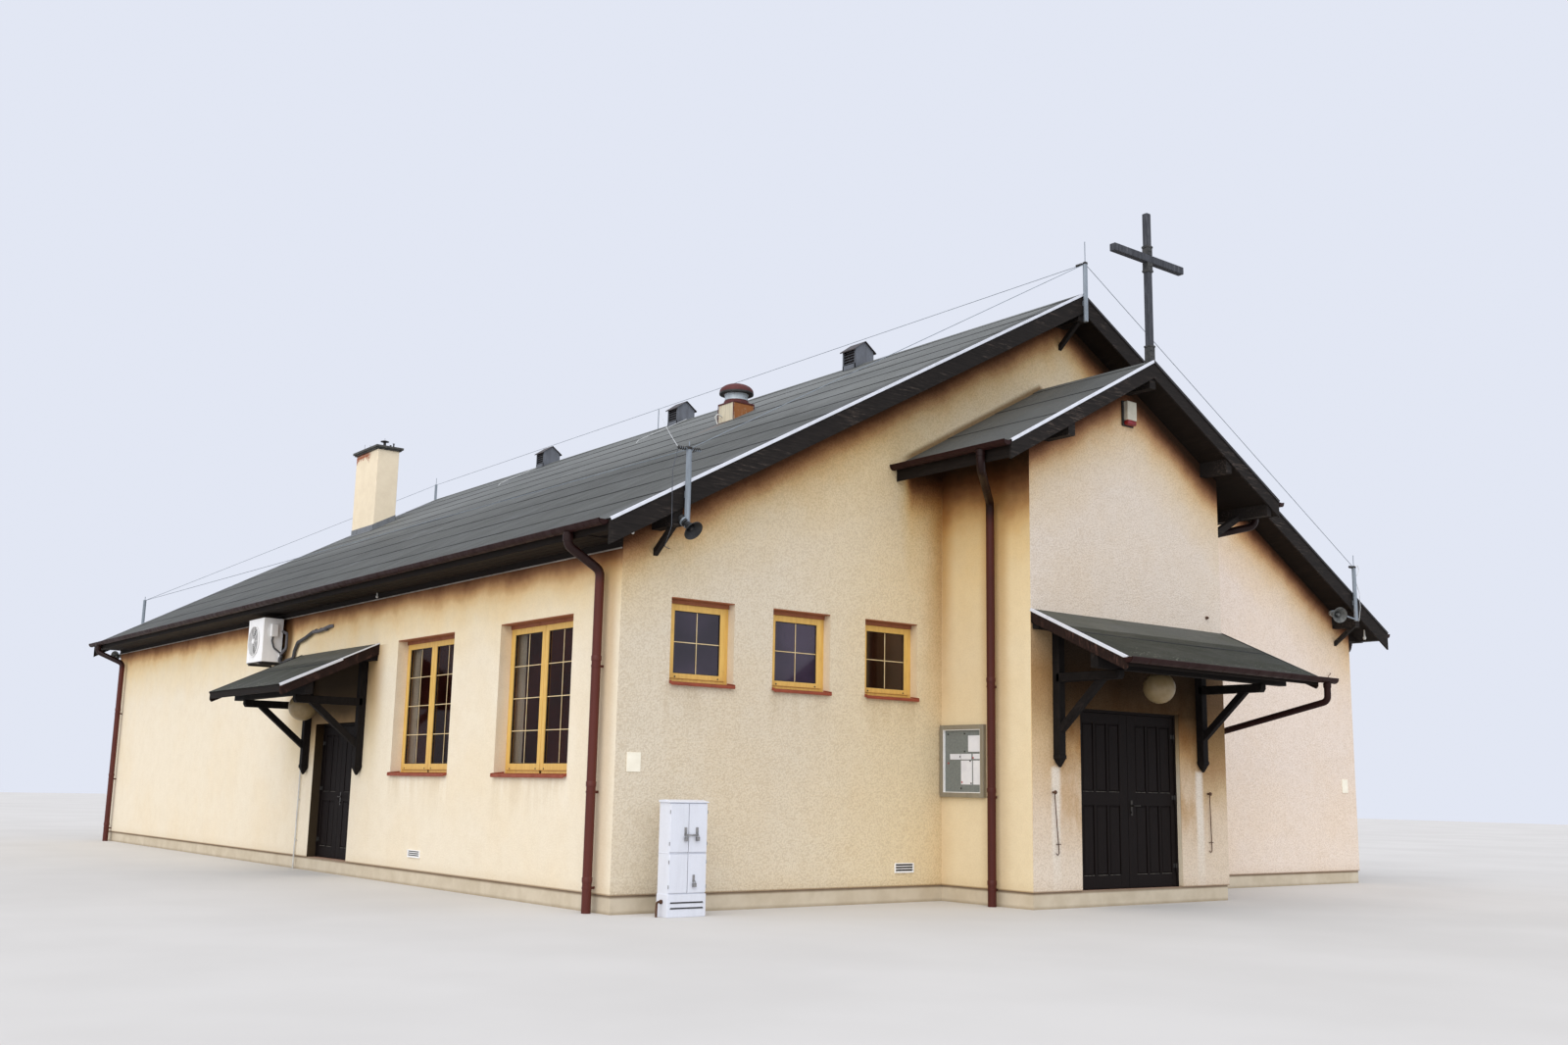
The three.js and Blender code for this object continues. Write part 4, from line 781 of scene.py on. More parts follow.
    def finish(self, name, material, slot, body="building", bevel=0.0, segments=2, angle=35.0, replaces=(),
               place=None):
        """The piece itself; place is the unit's frame where the shape was drawn in one."""
        bmesh.ops.recalc_face_normals(self.mesh, faces=self.mesh.faces)
        if place is not None:
            bmesh.ops.transform(self.mesh, matrix=place, verts=self.mesh.verts)
        bmesh.ops.translate(self.mesh, verts=self.mesh.verts, vec=ORIGIN)
        piece = placed(name, self.mesh, material)
        piece.data.set_sharp_from_angle(angle=math.radians(angle))
        if bevel:
            soft = piece.modifiers.new("bevel", "BEVEL")
            soft.width = bevel
            soft.segments = segments
            soft.limit_method = "ANGLE"
            soft.angle_limit = math.radians(40.0)
            soft.use_clamp_overlap = True
        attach(piece, body)
        if replaces:
            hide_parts(*replaces)
        return piece


def dress(node, material):
    """Give a CAD node its material."""
    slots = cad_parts[node].data.materials
    for i in range(len(slots)):
        slots[i] = material


DRESSES = (
    (PLASTER, ("front_wall_left", "front_wall_right", "front_gable", "rear_wall", "left_wall_front",
               "left_wall_over_door", "left_wall_rear", "right_wall", "porch_left_wall", "porch_right_wall",
               "porch_gable")),
    (PLINTH, ("ground_slab",)),
    (SOFFIT, ("hall_roof_left", "hall_roof_right", "porch_roof_left", "porch_roof_right")),
    (BARGE, ("front_barge_boards", "rear_barge_boards", "porch_barge_boards")),
    (DOOR_TIMBER, ("main_door_frame", "side_door_frame")),
    (MAST_METAL, ("lightning_conductor",)))
for material, nodes in DRESSES:
    for node in nodes:
        dress(node, material)


# Roof coverings
def outwards(along, up):
    """The upper normal of a slope."""
    normal = Vector(along).cross(up)
    return -normal if normal.z < 0 else normal


def felt_courses(name, start, along, up, length, depth, courses, material, seed, place=None, ripple=0.006):
    """Lapped felt strips on a slope, with bitumen bled out of each lap.

    start is the lower corner, along runs down the eave, up runs up the slope.
    """
    rng = random.Random(seed)
    along, up = Vector(along).normalized(), Vector(up).normalized()
    normal = outwards(along, up)
    shape, bleed = Shape(), Shape()
    course = depth / courses
    steps = max(int(length / 0.35), 4)
    for k in range(courses):
        low = k * course - (0.012 if k == 0 else 0.0)
        high = min((k + 1) * course + 0.06, depth)
        phase = rng.uniform(0, 6.28)
        wander = [rng.uniform(-1, 1) for _ in range(steps + 1)]
        edges = [ripple * (math.sin(length * i / steps * 0.9 + phase) + 0.7 * wander[i]) if k else 0.0
                 for i in range(steps + 1)]
        rows = []
        for f, lift in ((0.0, 0.0085), (0.08, 0.0080), (0.5, 0.0055), (1.0, 0.0030)):
            row = []
            for i in range(steps + 1):
                t = length * i / steps
                swell = 0.0015 * math.sin(t * 1.7 + phase) + 0.0008 * wander[i]
                s = low + (high - low) * f + (edges[i] if f == 0.0 else 0.0)
                row.append(start + along * t + up * s + normal * (lift + swell))
            rows.append(row)
        shape.sheet(rows, -normal * 0.0022)
        if k:
            rows = []
            for ahead in (-0.013, 0.002):
                row = []
                for i in range(steps + 1):
                    s = low + edges[i] + ahead * (1.0 + 0.45 * wander[i])
                    lift = 0.0072 if ahead < 0 else 0.0112
                    row.append(start + along * (length * i / steps) + up * s + normal * lift)
                rows.append(row)
            bleed.sheet(rows, -normal * 0.0040)
    bleed.finish(f"{name}_laps", BITUMEN, "roof_felt", place=place)
    return shape.finish(name, material, "roof_felt", angle=60.0, place=place)


def verge_strip(shape, foot, up, depth, outward):
    """Edge flashing over a barge board; outward is -1 at a front verge, 1 at a rear one."""
    up = Vector(up).normalized()
    outline = [(-0.014, 0.016), (0.014, 0.016), (0.014, -0.022), (0.009, -0.022), (0.009, 0.011),
               (-0.014, 0.011)]
    shape.sweep(outline, foot, (0, outward, 0), outwards((0, 1, 0), up), up * depth)


def roof_coverings():
    hall_depth = HALL_REACH / math.cos(PITCH)
    porch_depth = PORCH_REACH / math.cos(PITCH)
    pale, dark = Shape(), Shape()
    for side, word, flashings in ((-1, "left", pale), (1, "right", dark)):
        up = Vector((-side * math.cos(PITCH), 0.0, math.sin(PITCH)))
        foot = Vector((side * HALL_REACH, VERGE + 0.004, EAVE))
        felt_courses(f"hall_felt_{word}", foot, (0, 1, 0), up, REAR_VERGE - VERGE - 0.008,
                     hall_depth - 0.004, 10, FELT, 11 + side)
        porch_edge = PORCH_CENTRE + side * PORCH_REACH
        porch_eave = PORCH_RIDGE - SLOPE * abs(porch_edge - PORCH_CENTRE)
        porch_foot = Vector((porch_edge, PORCH_VERGE + 0.004, porch_eave))
        felt_courses(f"porch_felt_{word}", porch_foot, (0, 1, 0), up, -0.006 - PORCH_VERGE - 0.004,
                     porch_depth - 0.004, 3, FELT, 21 + side)
        verge_strip(flashings, foot + Vector((0, -0.004, 0)), up, hall_depth - 0.002, -1)
        verge_strip(flashings, Vector((side * HALL_REACH, REAR_VERGE, EAVE)), up, hall_depth - 0.002, 1)
        verge_strip(flashings, porch_foot + Vector((0, -0.004, 0)), up, porch_depth - 0.002, -1)
    pale.finish("verge_flashings_left", FLASHING, "verge_metal", bevel=0.002)
    dark.finish("verge_flashings_right", DARK_VERGE, "verge_metal", bevel=0.002)
    caps = Shape()
    for centre, ridge, y0, y1 in ((0.0, RIDGE, VERGE - 0.01, REAR_VERGE + 0.01),
                                  (PORCH_CENTRE, PORCH_RIDGE, PORCH_VERGE - 0.01, -0.01)):
        reach, lift = 0.15, 0.016
        top = [(centre - reach, ridge - SLOPE * reach + lift), (centre, ridge + lift),
               (centre + reach, ridge - SLOPE * reach + lift)]
        low = [(a, b - 0.006) for a, b in reversed(top)]
        caps.along_y(top + low, y0, y1 - y0)
    caps.finish("ridge_felt", FELT, "roof_felt")


roof_coverings()


# Frames that units are built in: x along the wall, y inwards from its outer face, z up
def on_front(x=0.0, y=0.0):
    return Matrix.Translation((x, y, 0.0))


def on_left(y, inset=0.0):
    return Matrix.Translation((-HALF_WIDTH + inset, y, 0.0)) @ Matrix.Rotation(-math.pi / 2, 4, "Z")


def on_right(y):
    return Matrix.Translation((HALF_WIDTH, y, 0.0)) @ Matrix.Rotation(math.pi / 2, 4, "Z")


def bent(points, radius, steps=6):
    """The points of a path with each corner rounded by an arc."""
    points = [Vector(p) for p in points]
    path = [points[0]]
    for before, corner, after in zip(points, points[1:], points[2:]):
        back, on = (before - corner).normalized(), (after - corner).normalized()
        half = back.angle(on) / 2
        reach = min(radius / math.tan(half), 0.45 * (before - corner).length,
                    0.45 * (after - corner).length)
        start, end = corner + back * reach, corner + on * reach
        for i in range(steps + 1):
            t = i / steps
            path.append(start * (1 - t) ** 2 + corner * 2 * t * (1 - t) + end * t ** 2)
    path.append(points[-1])
    return path


# Gutters and downpipes
GUTTER_R, GUTTER_SHEET, PIPE_R = 0.065, 0.004, 0.055
PIPE_OFF_WALL = 0.102


def trough(shape, start, along, out, length, brackets=0.7):
    """Half-round gutter with a rolled front edge, closed ends, joint bands and hangers."""
    along, out = Vector(along), Vector(out)
    centre = Vector(start) + out * (GUTTER_R + 0.0005)
    up = Vector((0, 0, 1))

    def arc(radius):
        return [(radius * math.cos(t),
                 radius * math.sin(t)) for t in (math.pi + math.pi * i / 16 for i in range(17))]

    inner = arc(GUTTER_R - GUTTER_SHEET)[::-1]
    shape.sweep(arc(GUTTER_R) + inner, centre, out, up, along * length)
    shape.tube([centre + out * (GUTTER_R - 0.004), centre + out * (GUTTER_R - 0.004) + along * length],
               0.009, 10)
    for place in (0.0, length - 0.004):
        shape.sweep(arc(GUTTER_R + 0.002), centre + along * place, out, up, along * 0.004)
    strap = arc(GUTTER_R + 0.003) + inner
    count = max(int(length / brackets), 1)
    for i in range(count):
        at = length * (i + 0.5) / count
        shape.sweep(strap, centre + along * (at - 0.012), out, up, along * 0.024)
        tie = centre + along * at + up * 0.002
        shape.bar(tie - out * GUTTER_R, tie + out * (GUTTER_R - 0.004), 0.022, 0.004, along)


def pipe_run(shape, points, collars, toward, bend=0.12, drop=0.06):
    """Round downpipe with rounded bends, sockets at its outlet and at heights, and clips to the wall."""
    shape.tube(bent(points, bend), PIPE_R, 20)
    foot = Vector(points[-1])
    for z in collars:
        ring = Vector((foot.x, foot.y, z))
        shape.lathe([(0, -0.03), (PIPE_R + 0.005, -0.03), (PIPE_R + 0.006, 0.022), (PIPE_R + 0.001, 0.03),
                     (0, 0.03)], ring, sides=24)
        strap = ring - Vector((0, 0, 0.09))
        shape.disc(PIPE_R + 0.004, -0.012, 0.012, strap, sides=24)
        shape.bar(strap, strap + Vector((toward, 0, 0)), 0.03, 0.006, (0, 0, 1))
    outlet = Vector(points[0]) - Vector((0, 0, drop))
    shape.lathe([(0, -0.04), (0.062, -0.04), (0.064, 0.035), (0, 0.035)], outlet, sides=24)


def rainwater():
    outlet_z = 4.30
    for side, word in SIDES:
        shape = Shape()
        start = (side * HALL_REACH, VERGE + 0.030, 4.370)
        trough(shape, start, (0, 1, 0), (side, 0, 0), REAR_VERGE - VERGE - 0.060)
        shape.finish(f"hall_gutter_{word}", GUTTER, "brown_metal", replaces=[f"{word}_gutter"])
        out_x = side * (HALL_REACH + GUTTER_R)
        wall_x = side * (HALF_WIDTH + PIPE_OFF_WALL)
        for end, out_y, y in (("front", 0.330, 0.330), ("rear", LENGTH - 0.200, LENGTH - 0.590)):
            shape = Shape()
            points = [(out_x, out_y, outlet_z + 0.01), (out_x, out_y, outlet_z - 0.14),
                      (wall_x, y, outlet_z - 0.39), (wall_x, y, 0.0)]
            pipe_run(shape, points, (2.88, 1.44, 0.37), -side * 0.1)
            shape.finish(f"hall_pipe_{word}_{end}", HALL_PIPE, "brown_metal",
                         replaces=[f"{word}_{end}_downpipe"])
        shape = Shape()
        edge = PORCH_CENTRE + side * PORCH_REACH
        trough(shape, (edge, PORCH_VERGE, 5.772), (0, 1, 0), (side, 0, 0), -PORCH_VERGE - 0.002)
        shape.finish(f"porch_gutter_{word}_trough", GUTTER, "brown_metal",
                     replaces=[f"porch_{word}_gutter"])
        shape = Shape()
        out_x = edge + side * GUTTER_R
        wall_x = (PORCH_LEFT if side < 0 else PORCH_RIGHT) + side * PIPE_OFF_WALL
        points = [(out_x, -1.640, 5.72), (out_x, -1.640, 5.476), (wall_x, PORCH_PIPE_Y, 5.231),
                  (wall_x, PORCH_PIPE_Y, 0.0)]
        pipe_run(shape, points, (2.88, 1.46, 0.30), -side * 0.1, bend=0.16, drop=0.04)
        shape.finish(f"porch_pipe_{word}", PORCH_PIPE, "brown_metal", replaces=[f"porch_{word}_gutter"])
    shape = Shape()
    low, high = local_box("canopy_gutter")
    edge_y = PORCH_FRONT - CANOPIES["main"]["out"]
    trough(shape, (low.x, edge_y, 3.055), (1, 0, 0), (0, -1, 0), high.x - low.x)
    pipe_x, pipe_y = PORCH_RIGHT + PIPE_OFF_WALL, edge_y - GUTTER_R
    points = [(pipe_x, pipe_y, 3.0), (pipe_x, pipe_y, 2.745), (pipe_x, PORCH_PIPE_Y - 0.045, 2.262)]
    shape.tube(bent(points, 0.10), 0.045, 18)
    shape.lathe([(0, -0.03), (0.052, -0.03), (0.054, 0.03), (0, 0.03)], (pipe_x, pipe_y, 2.96), sides=22)
    shape.finish("canopy_gutter_and_pipe", GUTTER, "brown_metal", replaces=["canopy_gutter"])


# Windows: a fixed frame, casements, glazing bars, gasket, glass, sill and head lining
SMALL = {"width": 0.935, "bottom": 2.630, "top": 3.648, "recess": 0.120, "casements": 1, "rows": 2,
         "frame_bar": 0.062, "sash_bar": 0.076, "sash_foot": 0.062}
TALL = {"width": 1.860, "bottom": 1.527, "top": 3.473, "recess": 0.150, "casements": 2, "rows": 4,
        "frame_bar": 0.058, "sash_bar": 0.078, "sash_foot": 0.085}
POST_HALF = 0.030


def ring(shape, x0, x1, z0, z1, width, foot, y0, y1):
    """Rectangular ring of bars with a foot of its own height."""
    shape.box((x0, y0, z0), (x0 + width, y1, z1))
    shape.box((x1 - width, y0, z0), (x1, y1, z1))
    shape.box((x0 + width, y0, z1 - width), (x1 - width, y1, z1))
    shape.box((x0 + width, y0, z0), (x1 - width, y1, z0 + foot))


def window(node, spec, place, glass):
    """A window and its sill, in a frame with x across from the left jamb and y inwards."""
    face, casements = spec["recess"], spec["casements"]
    x0, x1, z0, z1 = 0.001, spec["width"] - 0.001, spec["bottom"] + 0.001, spec["top"] - 0.013
    frame_bar, sash_bar, sash_foot = spec["frame_bar"], spec["sash_bar"], spec["sash_foot"]
    fixed = Shape()
    front, back = face + 0.012, face + 0.070
    ring(fixed, x0, x1, z0, z1, frame_bar, 0.075, front, back)
    for k in range(1, casements):
        middle = x0 + (x1 - x0) * k / casements
        fixed.box((middle - POST_HALF, front, z0), (middle + POST_HALF, back, z1))
    fixed.finish(f"{node}_frame", WINDOW, "window_frame", bevel=0.003, place=place, replaces=[node])

    sashes, bars, panes, gaskets = Shape(), Shape(), Shape(), Shape()
    inner0, inner1 = x0 + frame_bar - 0.010, x1 - frame_bar + 0.010
    foot, head = z0 + 0.065, z1 - frame_bar + 0.010
    span = (inner1 - inner0) / casements
    for k in range(casements):
        a = inner0 + span * k + (0.004 if k else 0.0)
        b = inner0 + span * (k + 1) - (0.004 if k < casements - 1 else 0.0)
        ring(sashes, a, b, foot, head, sash_bar, sash_foot, face - 0.004, face + 0.050)
        pa, pb, pz0, pz1 = a + sash_bar, b - sash_bar, foot + sash_foot, head - sash_bar
        ring(gaskets, pa, pb, pz0, pz1, 0.006, 0.006, face + 0.010, face + 0.034)
        panes.box((pa - 0.004, face + 0.020, pz0 - 0.004), (pb + 0.004, face + 0.026, pz1 + 0.004))
        x = pa + (pb - pa) / 2
        bars.box((x - 0.0055, face + 0.013, pz0), (x + 0.0055, face + 0.0195, pz1))
        for i in range(1, spec["rows"]):
            z = pz0 + (pz1 - pz0) * i / spec["rows"]
            bars.box((pa, face + 0.0125, z - 0.0055), (pb, face + 0.019, z + 0.0055))
        for x in (a + 0.10, b - 0.10):
            drain = (x, face - 0.0035, foot + 0.022)
            gaskets.lathe([(0, 0), (0.011, 0), (0.010, 0.004), (0, 0.004)], drain, (0, -1, 0), 12)
    sashes.finish(f"{node}_casements", WINDOW, "window_frame", bevel=0.005, segments=3, place=place)
    bars.finish(f"{node}_glazing_bars", GLAZING_BAR, "window_frame", bevel=0.002, place=place)
    gaskets.finish(f"{node}_gaskets", DARK_METAL, "window_frame", place=place)
    panes.finish(f"{node}_glass", glass, "glass", place=place)

    out, rise = 0.045, 0.030
    sill = Shape()
    base = spec["bottom"] + 0.001
    nose = [(-out, base - 0.028), (-out - 0.004, base - 0.018), (-out - 0.002, base + 0.006),
            (-out + 0.008, base + 0.012)]
    sill.along_x(nose + [(face - 0.002, base + rise), (face - 0.002, base + rise - 0.008),
                         (-out + 0.012, base)], 0.003, spec["width"] - 0.006)
    for x in (0.001, spec["width"] - 0.009):
        sill.along_x([(-out - 0.006, base - 0.016), (face - 0.004, base + rise - 0.012),
                      (face - 0.004, base + rise + 0.016), (-out - 0.002, base + 0.024)], x, 0.008)
    sill.finish(f"{node}_sill", SILL, "sill_metal", bevel=0.002, place=place)
    lining = Shape()
    width, top = spec["width"], spec["top"]
    lining.box((0.001, 0.002, top - 0.012), (width - 0.001, face + 0.068, top - 0.001))
    lining.box((0.002, face - 0.006, top - 0.060), (width - 0.002, face + 0.0115, top - 0.0125))
    lining.finish(f"{node}_head_lining", HEAD_LINING, "sill_metal", bevel=0.002, place=place)


def curtain(node, folds=5, depth=0.017, margin=0.004):
    """Gathered cloth: one thin sheet in the space of its solid, with folds that wander down it."""
    low, high = local_box(node)
    rng = random.Random(7)
    phases = [rng.uniform(-0.5, 0.5) for _ in range(folds * 2 + 1)]
    rows, columns = 26, folds * 16
    middle = (low.x + high.x) / 2
    width, tall = high.y - low.y - 2 * margin, high.z - low.z - 2 * margin
    cloth = bmesh.new()
    grid = []
    for i in range(rows + 1):
        drop = i / rows
        z = high.z - margin - tall * drop
        line = []
        for j in range(columns + 1):
            t = j / columns
            near = phases[int(t * folds * 2)]
            lean = 0.5 * near * drop + 0.35 * math.sin(3.0 * drop + 5.0 * t)
            wave = math.sin(2 * math.pi * folds * t + lean)
            x = middle + depth * wave * (0.85 + 0.12 * drop)
            y = low.y + margin + width * t + margin * math.sin(4 * math.pi * folds * t)
            line.append(cloth.verts.new(Vector((x, y, z)) + ORIGIN))
        grid.append(line)
    for above, below in zip(grid, grid[1:]):
        for j in range(columns):
            cloth.faces.new((above[j], above[j + 1], below[j + 1], below[j]))
    piece = placed(f"{node}_cloth", cloth, CLOTH)
    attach(piece, "building")
    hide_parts(node)
    track = Shape()
    track.bar((middle, low.y - 0.20, high.z - 0.003), (middle, high.y, high.z - 0.003), 0.018, 0.008,
              (1, 0, 0))
    track.finish(f"{node}_track", WHITE_METAL, "white_metal", bevel=0.001)


# Doors: each leaf is built in the frame of its doorway, x across from the left jamb, y inwards
def leaf(node, place, x0, x1, meeting, head, columns, handle=0):
    """Framed leaf with raised panels; meeting is -1 or 1, the side of its meeting stile."""
    z0 = FLOOR + 0.009
    thick, face = 0.059, 0.0005
    wide, slim = 0.165, 0.085
    left, right = (wide, slim) if meeting < 0 else (slim, wide)
    rail_low, rail_high = (1.10, 1.24) if head < 2.4 else (1.293, 1.466)
    base, top = 0.386, head - 0.135
    bands = ((base, rail_low), (rail_high, top))
    shape = Shape()
    for a, b in ((x0, x0 + left), (x1 - right, x1)):
        shape.box((a, face, z0), (b, thick, head))
    for a, b in ((z0, base), (rail_low, rail_high), (top, head)):
        shape.box((x0 + left, face, a), (x1 - right, thick, b))
    inner0, inner1, mullion = x0 + left, x1 - right, 0.045
    cell = (inner1 - inner0 - mullion * (columns - 1)) / columns
    shape.box((inner0 - 0.005, 0.016, base - 0.005), (inner1 + 0.005, 0.044, top + 0.005))
    beads = Shape()
    for k in range(columns):
        a = inner0 + (cell + mullion) * k
        if k:
            for low, high in bands:
                shape.box((a - mullion, face, low), (a, thick, high))
        for low, high in bands:
            back, front = ([(a + inset, y, low + inset), (a + cell - inset, y, low + inset),
                            (a + cell - inset, y, high - inset), (a + inset, y, high - inset)]
                           for inset, y in ((0.012, 0.0165), (0.026, 0.0165 - 0.014)))
            shape.frustum(back, front)
            beads.box((a + 0.004, 0.003, low + 0.001), (a + cell - 0.004, 0.016, low + 0.009))
    shape.finish(f"{node}_panels", DOOR_TIMBER, "door_timber", node, bevel=0.003, place=place,
                 replaces=[node])
    # The beads along the panel bottoms are paler: painted highlight with some wear.
    beads.finish(f"{node}_beads", DOOR_WORN_AND_HIGHLIGHT, "door_timber", node, bevel=0.002, place=place)
    hinges = Shape()
    span = head - FLOOR + 0.041
    pin = x0 + 0.010 if meeting > 0 else x1 - 0.010
    inner, outer = (x0 + 0.004, x0 + 0.060) if meeting > 0 else (x1 - 0.060, x1 - 0.004)
    for z in (FLOOR + 0.25, FLOOR + span / 2, head - 0.294):
        hinges.lathe([(0, 0), (0.010, 0.001), (0.010, 0.055), (0.006, 0.060), (0, 0.062)],
                     (pin, -0.014, z + 0.0005), sides=16)
        hinges.box((inner, -0.004, z + 0.004), (outer, 0.001, z + 0.058))
    hinges.finish(f"{node}_hinge_leaves", DARK_METAL, "door_timber", node, bevel=0.001, place=place)
    if handle:
        lever = Shape()
        x = x0 + 0.065 if meeting < 0 else x1 - 0.065
        z = handle
        lever.box((x - 0.020, -0.006, z - 0.13), (x + 0.020, 0.001, z + 0.07))
        lever.lathe([(0, 0), (0.013, 0), (0.011, 0.045), (0, 0.047)], (x, -0.004, z), (0, -1, 0), 16)
        reach = -meeting * 0.125
        lever.tube(bent([(x, -0.040, z), (x, -0.052, z), (x + reach, -0.052, z)], 0.012), 0.0095, 12)
        lever.lathe([(0, 0), (0.012, 0), (0.012, 0.010), (0, 0.012)], (x, -0.006, z - 0.09), (0, -1, 0), 16)
        lever.finish(f"{node}_handle", BRASS, "aluminium", node, bevel=0.001, place=place)


def doors():
    main_place = on_front(-1.576, PORCH_FRONT + 0.080)
    side_place = on_left(9.174, 0.150)
    frame_bar, gap = 0.041, 0.003
    for first, second, place, width, top, columns, handle in (
            ("main_door_left", "main_door_right", main_place, 2.086, 2.545 - frame_bar, 3, 1.292),
            ("side_door_rear", "side_door_front", side_place, 1.600, 2.310 - frame_bar, 2, 1.17)):
        leaf(first, place, frame_bar, width / 2 - gap, 1, top, columns)
        leaf(second, place, width / 2 + gap, width - frame_bar, -1, top, columns, handle)


# Canopies
POST, BRACE, UNDER_DECK = 0.115, 0.090, 0.0905


def canopy(word, spec, place, felt_material):
    """Boarded canopy with its felt and flashings, on two bracket posts, and its globe lamp."""
    x0, x1, out, wall, eave, arm = (spec[key] for key in ("x0", "x1", "out", "wall", "edge", "arm"))
    fall = (wall - eave) / out
    up = Vector((0, 1, fall)).normalized()
    normal = Vector((0, -fall, 1)).normalized()
    edge = Vector((0, -out, eave))
    reach = (out - 0.001) / up.y

    deck = Shape()
    planks, rafters = 9, 5
    wide = x1 - x0 - 0.06
    for k in range(planks):
        a, b = reach * k / planks + 0.002, reach * (k + 1) / planks - 0.002
        corner = edge + Vector((x0 + 0.03, 0, 0)) + up * a - normal * 0.024
        deck.sweep([(0, 0), (wide, 0), (wide, b - a), (0, b - a)], corner, (1, 0, 0), up, normal * 0.022)
    for k in range(rafters):
        x = x0 + 0.12 + (x1 - x0 - 0.24) * k / (rafters - 1)
        start = edge + Vector((x, 0, 0)) + up * 0.035 - normal * 0.052
        deck.bar(start, start + up * (reach - 0.04), 0.060, 0.052, (1, 0, 0))
    deck.box((x0 + 0.03, -out, eave - 0.105), (x1 - 0.03, -out + 0.022, eave - 0.004))
    deck.finish(f"{word}_canopy_deck", SOFFIT, "dark_timber", bevel=0.002, place=place,
                replaces=[f"{word}_canopy_roof"])
    verges = Shape()
    for x in (x0, x1 - 0.030):
        verges.along_x([(-out, eave - 0.002), (-out, eave - 0.120), (-out + 0.030, eave - 0.155),
                        (-0.001, wall - 0.170), (-0.001, wall - 0.002)], x, 0.030)
    verges.finish(f"{word}_canopy_verge_boards", WORN_VERGE, "dark_timber", bevel=0.004, place=place)

    # Flashings over the verges; the side canopy's pale one has lost its lip further up
    pale, dark = Shape(), Shape()
    total = reach + 0.010
    left, right = (x0, -1), (x1, 1)
    parts = ((pale, left, 0.0, total, 0.026), (dark, right, 0.0, total, 0.020))
    if word == "side":
        parts = ((pale, right, 0.0, total * 0.62, 0.026), (pale, right, total * 0.62, total * 0.38, 0.006),
                 (dark, left, 0.0, total, 0.020))
    for strips, (x, outward), start, length, lip in parts:
        outline = [(-0.020, 0.013), (0.010, 0.013), (0.010, -lip), (0.006, -lip), (0.006, 0.009),
                   (-0.020, 0.009)]
        foot = edge + Vector((x, 0, 0)) + up * (start - 0.012)
        strips.sweep(outline, foot, (outward, 0, 0), normal, up * length)
    pale.finish(f"{word}_canopy_flashing_near", FLASHING, "verge_metal", bevel=0.002, place=place)
    dark.finish(f"{word}_canopy_flashing_far", DARK_VERGE, "verge_metal", bevel=0.002, place=place)
    felt_courses(f"{word}_canopy_felt", edge + Vector((x0 + 0.004, 0, 0)), (1, 0, 0), up, x1 - x0 - 0.008,
                 reach, 2, felt_material, 31 if word == "main" else 32, place=place, ripple=0.010)

    half, back, foot, arm_end = POST / 2, -0.001, spec["foot"], spec["arm_end"]
    beam_out = arm_end - 0.020
    plate_top = wall + fall * -POST - UNDER_DECK
    beam_top = wall + fall * -beam_out - UNDER_DECK
    timbers = Shape()
    timbers.box((x0 + 0.031, -beam_out, arm + POST - 0.001), (x1 - 0.031, -beam_out + POST, beam_top))
    timbers.box((x0 + 0.031, -POST, plate_top - POST), (x1 - 0.031, back, plate_top))
    for x in spec["posts"]:
        left, right, seat = x - half, x + half, foot + 0.106
        timbers.box((left, -POST, foot + POST + 0.04), (right, back, plate_top - POST + 0.001))
        timbers.box((left - 0.006, -POST - 0.006, foot + 0.105), (right + 0.006, back, foot + POST + 0.042))
        tip = Vector((x, -0.5 * POST, foot))
        point = [tip + Vector((a, b, 0)) * 0.014 for a, b in ((-1, -1), (1, -1), (1, 1), (-1, 1))]
        timbers.frustum([(left, -POST, seat), (right, -POST, seat), (right, back, seat),
                         (left, back, seat)], point)
        timbers.along_x([(-arm_end, arm + 0.045), (-arm_end + 0.030, arm), (-half, arm),
                         (-half, arm + POST), (-arm_end, arm + POST)], left, POST)
        timbers.bar((x, -half, spec["brace_foot"] - 0.030), (x, -spec["brace_head"], arm + 0.030), BRACE,
                    BRACE, (1, 0, 0))
    timbers.finish(f"{word}_canopy_timbers", BEAM, "dark_timber", bevel=0.007, place=place,
                   replaces=[f"{word}_canopy_brackets"])

    x, away, z, radius = spec["lamp"]
    centre, neck, seat = (x, -away, z), 0.062, radius * 0.93
    globe = Shape()
    turn = [(radius * math.sin(t), -radius * math.cos(t)) for t in (math.pi * i / 28 for i in range(29))]
    bowl = [p for p in turn[1:] if p[1] < radius * 0.955]
    globe.lathe([(0, -radius)] + bowl + [(neck, radius * 0.965), (0, radius * 0.965)], centre, sides=40)
    globe.finish(f"{word}_lamp_globe", OPAL, "opal_glass", place=place, replaces=[f"{word}_lamp"])
    fitting = Shape()
    top = wall - fall * (away + 0.060) - UNDER_DECK - 0.001 - z
    fitting.lathe([(0, seat), (neck + 0.014, seat), (neck + 0.010, seat + 0.030), (0.016, seat + 0.046),
                   (0.014, top - 0.030), (0.058, top - 0.024), (0.060, top), (0, top)], centre, sides=32)
    fitting.finish(f"{word}_lamp_fitting", DARK_METAL, "aluminium", place=place)


